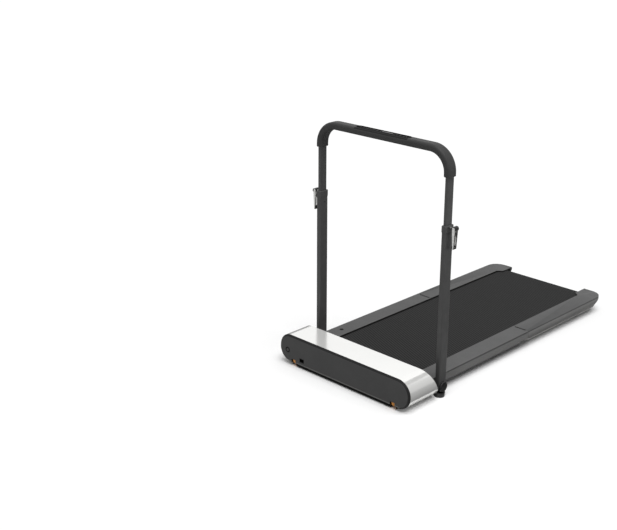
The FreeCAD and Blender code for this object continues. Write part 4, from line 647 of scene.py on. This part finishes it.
# Grey level and corners, in metres, of the cards whose reflections band the shell's rounded ends
FLAGS = {
    "flag_above": (0.02, [(0.5, 2.5, 2.8), (2.1, 2.5, 2.8), (2.1, 2.5, 4.2), (0.5, 2.5, 4.2)]),
    "flag_side": (0.3, [(2.1, 2.5, 0.0), (6.0, 2.5, 0.0), (6.0, 2.5, 3.4), (2.1, 2.5, 3.4)]),
    "flag_right": (0.06, [(0.37, -0.76, 0.003), (6.0, -0.76, 0.003), (6.0, 2.5, 0.003), (0.55, 2.5, 0.003),
                          (0.55, -0.3, 0.003), (0.37, -0.3, 0.003)]),
    "flag_left": (0.05, [(-3.0, -2.0, 0.0), (-3.0, 5.0, 0.0), (-3.0, 5.0, 1.1), (-3.0, -2.0, 1.1)]),
    "flag_left_floor": (0.05, [(-3.0, -0.7, 0.003), (-0.5, -0.7, 0.003), (-0.5, 1.6, 0.003),
                               (-3.0, 1.6, 0.003)]),
}


def grey_node(tree, kind, level, strength=None):
    """Shader node of an even grey."""
    node = tree.nodes.new(kind)
    node.inputs["Color"].default_value = (level, level, level, 1.0)
    if strength is not None:
        node.inputs["Strength"].default_value = strength
    return node


def seen_rays(tree):
    """One for rays that show the background: camera, glossy and transmission rays."""
    path = tree.nodes.new("ShaderNodeLightPath")
    seen = path.outputs["Is Camera Ray"]
    for ray in ("Is Glossy Ray", "Is Transmission Ray"):
        either = tree.nodes.new("ShaderNodeMath")
        either.operation = "MAXIMUM"
        tree.links.new(seen, either.inputs[0])
        tree.links.new(path.outputs[ray], either.inputs[1])
        seen = either.outputs[0]
    return seen


def split(tree, output_kind, unseen, seen):
    """Shows one shader as background while the other lights the pad."""
    output = tree.nodes.new(output_kind)
    mix = tree.nodes.new("ShaderNodeMixShader")
    tree.links.new(seen_rays(tree), mix.inputs["Fac"])
    tree.links.new(unseen.outputs[0], mix.inputs[1])
    tree.links.new(seen.outputs[0], mix.inputs[2])
    tree.links.new(mix.outputs["Shader"], output.inputs["Surface"])


class WALKING_PAD_OT_stage(bpy.types.Operator):
    """Camera, pale floor and soft studio light"""
    bl_idname = "walking_pad.stage"
    bl_label = "Stage"

    def execute(self, context):
        stage = context.scene.pad_stage
        context.scene.camera = self.camera(stage)
        self.floor(stage)
        context.scene.world = self.sky(stage)
        self.lamp(stage)
        self.side_lamp(stage)
        self.flags()
        context.scene.view_settings.view_transform = "Standard"
        return {"FINISHED"}

    @staticmethod
    def camera(stage):
        eye = placed("camera", bpy.data.cameras.new("camera"))
        eye.data.lens = stage.lens
        eye.data.sensor_width = SENSOR_WIDTH
        eye.data.clip_end = CAMERA_RANGE
        level = math.cos(stage.rise)
        back = Vector((math.sin(stage.turn) * level, -math.cos(stage.turn) * level, math.sin(stage.rise)))
        right = Vector((math.cos(stage.turn), math.sin(stage.turn), 0.0))
        turn = Matrix((right, back.cross(right), back)).transposed()
        eye.matrix_world = Matrix.Translation(stage.spot) @ turn.to_4x4()
        return eye

    @staticmethod
    def floor(stage):
        shape = bmesh.new()
        bmesh.ops.create_grid(shape, x_segments=1, y_segments=1, size=stage.floor / 2)
        mesh = bpy.data.meshes.new("floor")
        shape.to_mesh(mesh)
        shape.free()
        floor = placed("floor", mesh)
        pale = bpy.data.materials.new("pale_floor")
        tree = bare_tree(pale)
        split(tree, "ShaderNodeOutputMaterial",
              grey_node(tree, "ShaderNodeBsdfDiffuse", stage.floor_bounce),
              grey_node(tree, "ShaderNodeBsdfDiffuse", stage.floor_seen))
        mesh.materials.append(pale)

    @staticmethod
    def sky(stage):
        world = bpy.data.worlds.new("studio")
        tree = bare_tree(world)
        split(tree, "ShaderNodeOutputWorld",
              grey_node(tree, "ShaderNodeBackground", 1.0, stage.sky),
              grey_node(tree, "ShaderNodeBackground", 1.0, 1.0))
        return world

    @staticmethod
    def lamp(stage):
        lamp = bpy.data.lights.new("overhead", "SUN")
        lean = Vector(stage.lamp_lean).normalized()
        lamp.energy = stage.lamp * math.pi / lean.z
        lamp.angle = stage.lamp_size
        placed("overhead", lamp).matrix_world = towards(lean, LAMP_SPOT)

    @staticmethod
    def side_lamp(stage):
        lamp = bpy.data.lights.new("side", "AREA")
        lamp.shape = "RECTANGLE"
        lamp.size, lamp.size_y = SIDE_LAMP_SIZE
        lamp.energy = stage.side_lamp
        thing = placed("side", lamp)
        thing.matrix_world = towards(SIDE_LAMP_LEAN, SIDE_LAMP_SPOT)
        thing.visible_camera = False
        thing.visible_glossy = False

    @staticmethod
    def flags():
        """Cards that show in reflections alone and give the rounded shell its bands."""
        for name, (level, corners) in FLAGS.items():
            grey = bpy.data.materials.new(f"{name}_grey")
            tree = bare_tree(grey)
            output = tree.nodes.new("ShaderNodeOutputMaterial")
            glow = grey_node(tree, "ShaderNodeEmission", level, 1.0)
            tree.links.new(glow.outputs["Emission"], output.inputs["Surface"])
            mesh = bpy.data.meshes.new(name)
            mesh.from_pydata(corners, [], [range(len(corners))])
            mesh.materials.append(grey)
            flag = placed(name, mesh)
            for ray in RAYS_PAST_FLAGS:
                setattr(flag, f"visible_{ray}", False)


# Pieces

class WALKING_PAD_OT_belt(bpy.types.Operator):
    """Ribbed walking belt, one loop round both rollers"""
    bl_idname = "walking_pad.belt"
    bl_label = "Walking belt"

    THICKNESS = 2.0 * MM
    RIB = ((0.0, 0.0), (0.38, 0.0), (0.5, 1.0), (0.88, 1.0))  # places in a rib's pitch, and their rise
    SPREAD = (-1.0, 1.0, 1.1, -1.1)  # tread coordinate of a row's four corners, in half widths

    def execute(self, context):
        sizes = context.scene.pad_sizes
        low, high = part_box("belt_front")
        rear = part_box("belt_rear")[1]
        radius = (high.z - low.z) / 2
        axis_z = (high.z + low.z) / 2
        front_y, rear_y = low.y + radius, rear.y - radius
        half = high.x
        run = rear_y - front_y
        bend = math.pi * radius
        total = 2 * (run + bend)
        ribs = round(total / sizes.rib_pitch)
        shape = bmesh.new()
        spread = shape.loops.layers.uv.new("UVMap")
        rows = []
        for i in range(ribs):
            for step, lift in self.RIB:
                along = total * (i + step) / ribs
                spot, out = self.station(along, run, bend, radius, front_y, rear_y, axis_z)
                face = spot + out * (lift - 1.0) * sizes.rib_height
                back = spot - out * self.THICKNESS
                corners = ((-half, face), (half, face), (half, back), (-half, back))
                rows.append((along, [shape.verts.new(Vector((x, 0, 0)) + place) for x, place in corners]))
        for k, (along, row) in enumerate(rows):
            after, following = rows[(k + 1) % len(rows)]
            after = after if after > along else total
            for c in range(4):
                d = (c + 1) % 4
                quad = shape.faces.new((row[c], row[d], following[d], following[c]))
                for corner, (u, v) in zip(quad.loops, ((c, along), (d, along), (d, after), (c, after))):
                    corner[spread].uv = (half * self.SPREAD[u], v)
        belt = piece("walking_belt", shape, "belt_rubber", smooth=False)
        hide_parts("belt_front", "belt_rear")
        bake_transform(belt)
        return {"FINISHED"}

    @staticmethod
    def station(along, run, bend, radius, front_y, rear_y, axis_z):
        """Point on the loop's face and the direction out of it."""
        if along < run:
            return Vector((0, front_y + along, axis_z + radius)), Vector((0, 0, 1))
        if along < run + bend:
            turn = (along - run) / radius
            centre = Vector((0, rear_y, axis_z))
        elif along < 2 * run + bend:
            return Vector((0, rear_y - (along - run - bend), axis_z - radius)), Vector((0, 0, -1))
        else:
            turn = math.pi + (along - 2 * run - bend) / radius
            centre = Vector((0, front_y, axis_z))
        out = Vector((0, math.sin(turn), math.cos(turn)))
        return centre + out * radius, out


class WALKING_PAD_OT_housing(bpy.types.Operator):
    """Motor housing: shell, front panel, rear cover and pan"""
    bl_idname = "walking_pad.housing"
    bl_label = "Motor housing"

    SCREW_COLUMNS = (-0.6, -0.2, 0.2, 0.6)  # in half widths of the pan

    def execute(self, context):
        dress("silver_shell", "housing_shell")
        dress("rimmed_panel", "front_panel")
        dress("charcoal_panel", "housing_rear_cover")
        dress("matt_black", "base_pan")
        low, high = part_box("base_pan")
        front_row, rear_row = low.y + 70.0 * MM, high.y - 14.0 * MM
        places = [(Vector((column * high.x, row, low.z + SCREW_SINK)), (0, 0, -1))
                  for column in self.SCREW_COLUMNS for row in (front_row, rear_row)]
        screws("pan_screws", places, context.scene.pad_sizes.tray_screw, SCREW_HEIGHT,
               "steel", "base")
        return {"FINISHED"}


class WALKING_PAD_OT_controls(bpy.types.Operator):
    """Push button with its dish, and the mains inlet"""
    bl_idname = "walking_pad.controls"
    bl_label = "Button and inlet"

    # Share of the dish's radius, and height above the button's face in millimetres
    DISH = ((0.0, 0.1), (0.5, 0.2), (0.85, 0.5), (0.97, 0.6), (1.0, 0.45), (1.0, -0.6), (0.0, -0.6))

    def execute(self, context):
        dish = context.scene.pad_sizes.button_dish
        dress("matt_black", "power_button", "power_inlet")
        low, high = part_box("power_button")
        spot = Vector(((low.x + high.x) / 2, low.y, (low.z + high.z) / 2))
        shape = bmesh.new()
        profile = [(dish * share, height * MM) for share, height in self.DISH]
        lathe(shape, profile, towards((0, -1, 0), spot))
        piece("button_dish", shape, "charcoal_panel", "power_button")
        return {"FINISHED"}


class WALKING_PAD_OT_wheels(bpy.types.Operator):
    """Transport wheels with their brackets and axles"""
    bl_idname = "walking_pad.wheels"
    bl_label = "Transport wheels"

    def execute(self, context):
        dress("orange_wheel", "wheel_left", "wheel_right")
        dress("black_steel", "wheel_brackets")
        dress("steel", "wheel_axles")
        return {"FINISHED"}


class WALKING_PAD_OT_rails(bpy.types.Operator):
    """Side rails of both halves and their screws"""
    bl_idname = "walking_pad.rails"
    bl_label = "Side rails"

    HEAD_HEIGHT, HEAD_SINK = 0.72 * MM, 0.22 * MM
    UPRIGHT_END = 5.0 * MM  # height of the rail's end that stays upright below its top
    # Degrees outwards from straight back, and share of the end's reach
    CORNER = ((0.0, 1.0), (25.0, 0.85), (50.0, 0.6), (75.0, 0.25))
    PLANES = 10  # that cut each quarter of an ellipse
    BLOCK = 2.0  # metres across, before it is cut to the shape of the rail's end

    def execute(self, context):
        sizes = context.scene.pad_sizes
        dress("grey_rail", "front_rail_left", "front_rail_right")
        for side in SIDES:
            self.rear_rail(sizes, side)
        low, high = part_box("rail_screws")
        radius = (high.y - low.y) / 2
        y = (low.y + high.y) / 2
        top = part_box("front_rail_right")[1].z
        places = [(Vector((side * (high.x - radius), y, top - self.HEAD_SINK)), (0, 0, 1))
                  for side in SIDES.values()]
        heads = screws("rail_screw_heads", places, sizes.rail_screw, self.HEAD_HEIGHT,
                       "matt_black", "base")
        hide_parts("rail_screws")
        return {"FINISHED"}

    def rear_rail(self, sizes, side):
        """Rear rail whose end rises from below in a quarter of an ellipse."""
        node = f"rear_rail_{side}"
        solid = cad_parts[node]
        low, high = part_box(node)
        rise = high.z - low.z - self.UPRIGHT_END
        shape = bmesh.new()
        shape.from_mesh(solid.data)
        shape.transform(solid.matrix_world)
        bmesh.ops.remove_doubles(shape, verts=shape.verts, dist=WELD)
        block = bmesh.new()
        bmesh.ops.create_cube(block, size=self.BLOCK)
        for angle, share in self.CORNER:
            lean = math.radians(angle)
            out = Vector((SIDES[side] * math.sin(lean), math.cos(lean), 0.0))
            edge = max(out.dot(solid.matrix_world @ vert.co) for vert in solid.data.vertices)
            reach = sizes.end_reach * share
            for step in range(self.PLANES):
                turn = math.pi / 2 * (step + 0.5) / self.PLANES
                spot = out * (edge - reach * (1.0 - math.sin(turn)))
                spot.z = low.z + rise * (1.0 - math.cos(turn))
                slope = out * rise * math.sin(turn)
                slope.z = -reach * math.cos(turn)
                geometry = block.verts[:] + block.edges[:] + block.faces[:]
                bmesh.ops.bisect_plane(block, geom=geometry, plane_co=spot, plane_no=slope.normalized(),
                                       clear_outer=True)
                bmesh.ops.holes_fill(block, edges=block.edges)
        rail = piece(f"{node}_cover", shared(shape, block), "grey_rail", "rear_deck")
        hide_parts(node)


class WALKING_PAD_OT_trays(bpy.types.Operator):
    """Trays under both halves, their feet and screws"""
    bl_idname = "walking_pad.trays"
    bl_label = "Trays and feet"

    SCREW_INSET = 58.0 * MM
    SCREW_ROWS = (0.3, 0.5, 0.7)  # in lengths of the tray

    def execute(self, context):
        dress("black_plastic", "front_tray")
        dress("silver_plastic", "rear_tray")
        dress("black_rubber", "front_feet", "rear_feet", "base_foot_pads")
        for tray, body in (("front_tray", "base"), ("rear_tray", "rear_deck")):
            low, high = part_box(tray)
            x, length = high.x - self.SCREW_INSET, high.y - low.y
            places = [(Vector((side * x, low.y + row * length, low.z + SCREW_SINK)), (0, 0, -1))
                      for side in SIDES.values() for row in self.SCREW_ROWS]
            screws(f"{tray}_screws", places, context.scene.pad_sizes.tray_screw, SCREW_HEIGHT,
                   "steel", body)
        return {"FINISHED"}


class WALKING_PAD_OT_deck(bpy.types.Operator):
    """Steel frame, deck boards, rollers, hinges and drive inside the pad"""
    bl_idname = "walking_pad.deck"
    bl_label = "Frame and drive"

    def execute(self, context):
        dress("black_steel", "front_side_members", "rear_side_members", "front_cross_members",
              "rear_cross_members", "axle_blocks", "front_bearing_blocks", "motor_mount",
              "hinge_leaves_front", "hinge_leaves_rear", "hinge_pins")
        dress("board_wood", "front_deck_board", "rear_deck_board")
        dress("steel", "front_roller", "rear_roller", "rear_axle", "tension_bolts", "drive_pulley")
        dress("motor_metal", "motor", "motor_rotor")
        dress("board_green", "control_board")
        dress("black_rubber", "drive_belt")
        return {"FINISHED"}


class WALKING_PAD_OT_uprights(bpy.types.Operator):
    """Handrail feet, knobs, tubes, collars and their screws"""
    bl_idname = "walking_pad.uprights"
    bl_label = "Uprights"

    SCREW_HEAD = 0.9 * MM
    SCREW_BEHIND, SCREW_BELOW = 5.0 * MM, 36.0 * MM  # from the tube's middle, and from its top

    def execute(self, context):
        dress("black_steel", "handrail_base_left", "handrail_base_right")
        dress("charcoal_tube", "outer_tube_left", "outer_tube_right", "inner_tubes", "pivot_plugs",
              "collars")
        dress("black_plastic", "lock_knob_left", "lock_knob_right", "tube_glides")
        dress("steel", "clamp_bolts")
        low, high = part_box("outer_tube_right")
        y, z = (low.y + high.y) / 2 + self.SCREW_BEHIND, high.z - self.SCREW_BELOW
        places = [(Vector((side * low.x, y, z)), (-side, 0, 0)) for side in SIDES.values()]
        screws("tube_screws", places, context.scene.pad_sizes.tube_screw, self.SCREW_HEAD,
               "black_steel", "handrail_lower")
        return {"FINISHED"}


class WALKING_PAD_OT_levers(bpy.types.Operator):
    """Quick-release levers with their caps and stop pads"""
    bl_idname = "walking_pad.levers"
    bl_label = "Quick-release levers"

    CAP_START, CAP_SWEEP, CAP_STEPS = -35.0, 250.0, 28  # degrees round the lever's head
    CAP_GAP, CAP_OVERHANG = 0.1 * MM, 1.5 * MM
    PAD_INNER, PAD_OUTER = 2.3 * MM, 5.5 * MM  # from the lever's middle towards the tube
    PAD_SOFT, PAD_RAISED, PAD_OVERHANG = 1.5 * MM, 1.0 * MM, 0.6 * MM

    def execute(self, context):
        sizes = context.scene.pad_sizes
        for side, outward in SIDES.items():
            lever = f"clamp_lever_{side}"
            dress("lever_metal", lever)
            low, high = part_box(lever)
            self.cap(sizes, lever, low, high)
            self.stop_pad(sizes, lever, low, high, -outward)
        return {"FINISHED"}

    def cap(self, sizes, lever, low, high):
        """Black cap arched over the lever's head."""
        radius = (high.x - low.x) / 2
        centre_x, centre_z = (low.x + high.x) / 2, high.z - radius
        reach = (high.y - low.y) / 2 + self.CAP_OVERHANG
        mid_y = (low.y + high.y) / 2
        outline = []
        turns = [math.radians(self.CAP_START + self.CAP_SWEEP * i / self.CAP_STEPS)
                 for i in range(self.CAP_STEPS + 1)]
        for thick, order in ((sizes.lever_cap, turns), (self.CAP_GAP, turns[::-1])):
            arc = radius + thick
            outline += [(centre_x + math.cos(turn) * arc, centre_z + math.sin(turn) * arc) for turn in order]
        shape = bmesh.new()
        extrude(shape, outline, mid_y - reach, mid_y + reach)
        piece(f"{lever}_cap", shape, "black_plastic", lever, smooth=False)

    def stop_pad(self, sizes, lever, low, high, inward):
        """Black pad on the lever's inner side, where its end meets the tube."""
        mid_x = (low.x + high.x) / 2
        inner, outer, soft = self.PAD_INNER, self.PAD_OUTER, self.PAD_SOFT
        bottom = low.z + self.PAD_RAISED
        top = bottom + sizes.lever_pad
        outline = [(inner, bottom), (outer - soft, bottom), (outer, bottom + soft),
                   (outer, top - soft), (outer - soft, top), (inner, top)]
        shape = bmesh.new()
        extrude(shape, [(mid_x + inward * x, z) for x, z in outline],
                low.y - self.PAD_OVERHANG, high.y + self.PAD_OVERHANG)
        piece(f"{lever}_pad", shape, "black_plastic", lever, smooth=False)


class WALKING_PAD_OT_grip(bpy.types.Operator):
    """Grip bar with its strip insert, ribs and lens"""
    bl_idname = "walking_pad.grip"
    bl_label = "Grip bar"

    RIB = ((-1.8, -0.4), (-1.2, 0.7), (1.2, 0.7), (1.8, -0.4))  # section in millimetres
    RIB_MARGIN, RIB_INSET, LENS_CLEAR = 30.0 * MM, 3.0 * MM, 3.0 * MM
    RIM_FOOT = -1.6 * MM
    RIM_STEPS = 18  # round each end of the strip

    def execute(self, context):
        sizes = context.scene.pad_sizes
        dress("grip_foam", "grip_bar")
        dress("matt_black", "bar_insert")
        dress("gloss_lens", "bar_lens")
        low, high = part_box("bar_insert")
        self.ribs(sizes, low, high)
        self.rim(sizes, low, high)
        return {"FINISHED"}

    def ribs(self, sizes, low, high):
        """Low ribs across the strip insert, clear of the lens."""
        lens_low, lens_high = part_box("bar_lens")
        count = int((high.x - low.x - self.RIB_MARGIN) / sizes.insert_rib)
        half_y = (high.y - low.y) / 2 - self.RIB_INSET
        mid = (low + high) / 2
        shape = bmesh.new()
        for i in range(count + 1):
            x = mid.x + (i - count / 2) * sizes.insert_rib
            if lens_low.x - self.LENS_CLEAR < x < lens_high.x + self.LENS_CLEAR:
                continue
            section = [(x + u * MM, high.z + v * MM) for u, v in self.RIB]
            extrude(shape, section, mid.y - half_y, mid.y + half_y)
        piece("insert_ribs", shape, "black_plastic", "handrail_upper", smooth=False)

    def rim(self, sizes, low, high):
        """Raised rim round the strip insert."""
        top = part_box("grip_bar")[1].z
        mid = (low + high) / 2
        half_y = (high.y - low.y) / 2
        straight = (high.x - low.x) / 2 - half_y
        crest = sizes.insert_rim
        # Distance out from the strip's edge, and height above the grip
        profile = [(-0.6 * MM, self.RIM_FOOT), (-0.6 * MM, crest), (0.4 * MM, crest + 0.3 * MM),
                   (1.6 * MM, crest - 0.4 * MM), (3.0 * MM, self.RIM_FOOT)]
        shape = bmesh.new()
        grid = []
        for end, start in ((1, -0.5), (-1, 0.5)):
            centre = Vector((mid.x + end * straight, mid.y, top))
            for i in range(self.RIM_STEPS + 1):
                turn = math.pi * (i / self.RIM_STEPS + start)
                out = Vector((math.cos(turn), math.sin(turn), 0.0))
                grid.append([shape.verts.new(centre + out * (half_y + u) + Vector((0, 0, v)))
                             for u, v in profile])
        for ring, following in zip(grid, grid[1:] + grid[:1]):
            for a in range(len(profile)):
                b = (a + 1) % len(profile)
                shape.faces.new((ring[a], ring[b], following[b], following[a]))
        piece("insert_rim", shape, "matt_black", "handrail_upper")


OPERATORS = (
    WALKING_PAD_OT_stage, WALKING_PAD_OT_belt, WALKING_PAD_OT_housing, WALKING_PAD_OT_controls,
    WALKING_PAD_OT_wheels, WALKING_PAD_OT_rails, WALKING_PAD_OT_trays, WALKING_PAD_OT_deck,
    WALKING_PAD_OT_uprights, WALKING_PAD_OT_levers, WALKING_PAD_OT_grip,
)


class WALKING_PAD_PT_pieces(bpy.types.Panel):
    """Pieces and settings of the walking pad"""
    bl_idname = "WALKING_PAD_PT_pieces"
    bl_label = "Walking Pad"
    bl_space_type = "VIEW_3D"
    bl_region_type = "UI"
    bl_category = "Walking Pad"

    def draw(self, context):
        layout = self.layout
        for operator in OPERATORS:
            layout.operator(operator.bl_idname, text=operator.bl_label)
        for group in (context.scene.pad_finishes, context.scene.pad_sizes, context.scene.pad_stage):
            box = layout.box()
            for name in group.__annotations__:
                box.prop(group, name)


CLASSES = (PadFinishes, PadSizes, PadStage, *OPERATORS, WALKING_PAD_PT_pieces)


def register():
    for cls in CLASSES:
        bpy.utils.register_class(cls)
    bpy.types.Scene.pad_finishes = PointerProperty(type=PadFinishes)
    bpy.types.Scene.pad_sizes = PointerProperty(type=PadSizes)
    bpy.types.Scene.pad_stage = PointerProperty(type=PadStage)


def unregister():
    del bpy.types.Scene.pad_stage
    del bpy.types.Scene.pad_sizes
    del bpy.types.Scene.pad_finishes
    for cls in reversed(CLASSES):
        bpy.utils.unregister_class(cls)


def main():
    register()
    for operator in OPERATORS:
        group, name = operator.bl_idname.split(".")
        getattr(getattr(bpy.ops, group), name)()


if __name__ == "__main__":
    main()
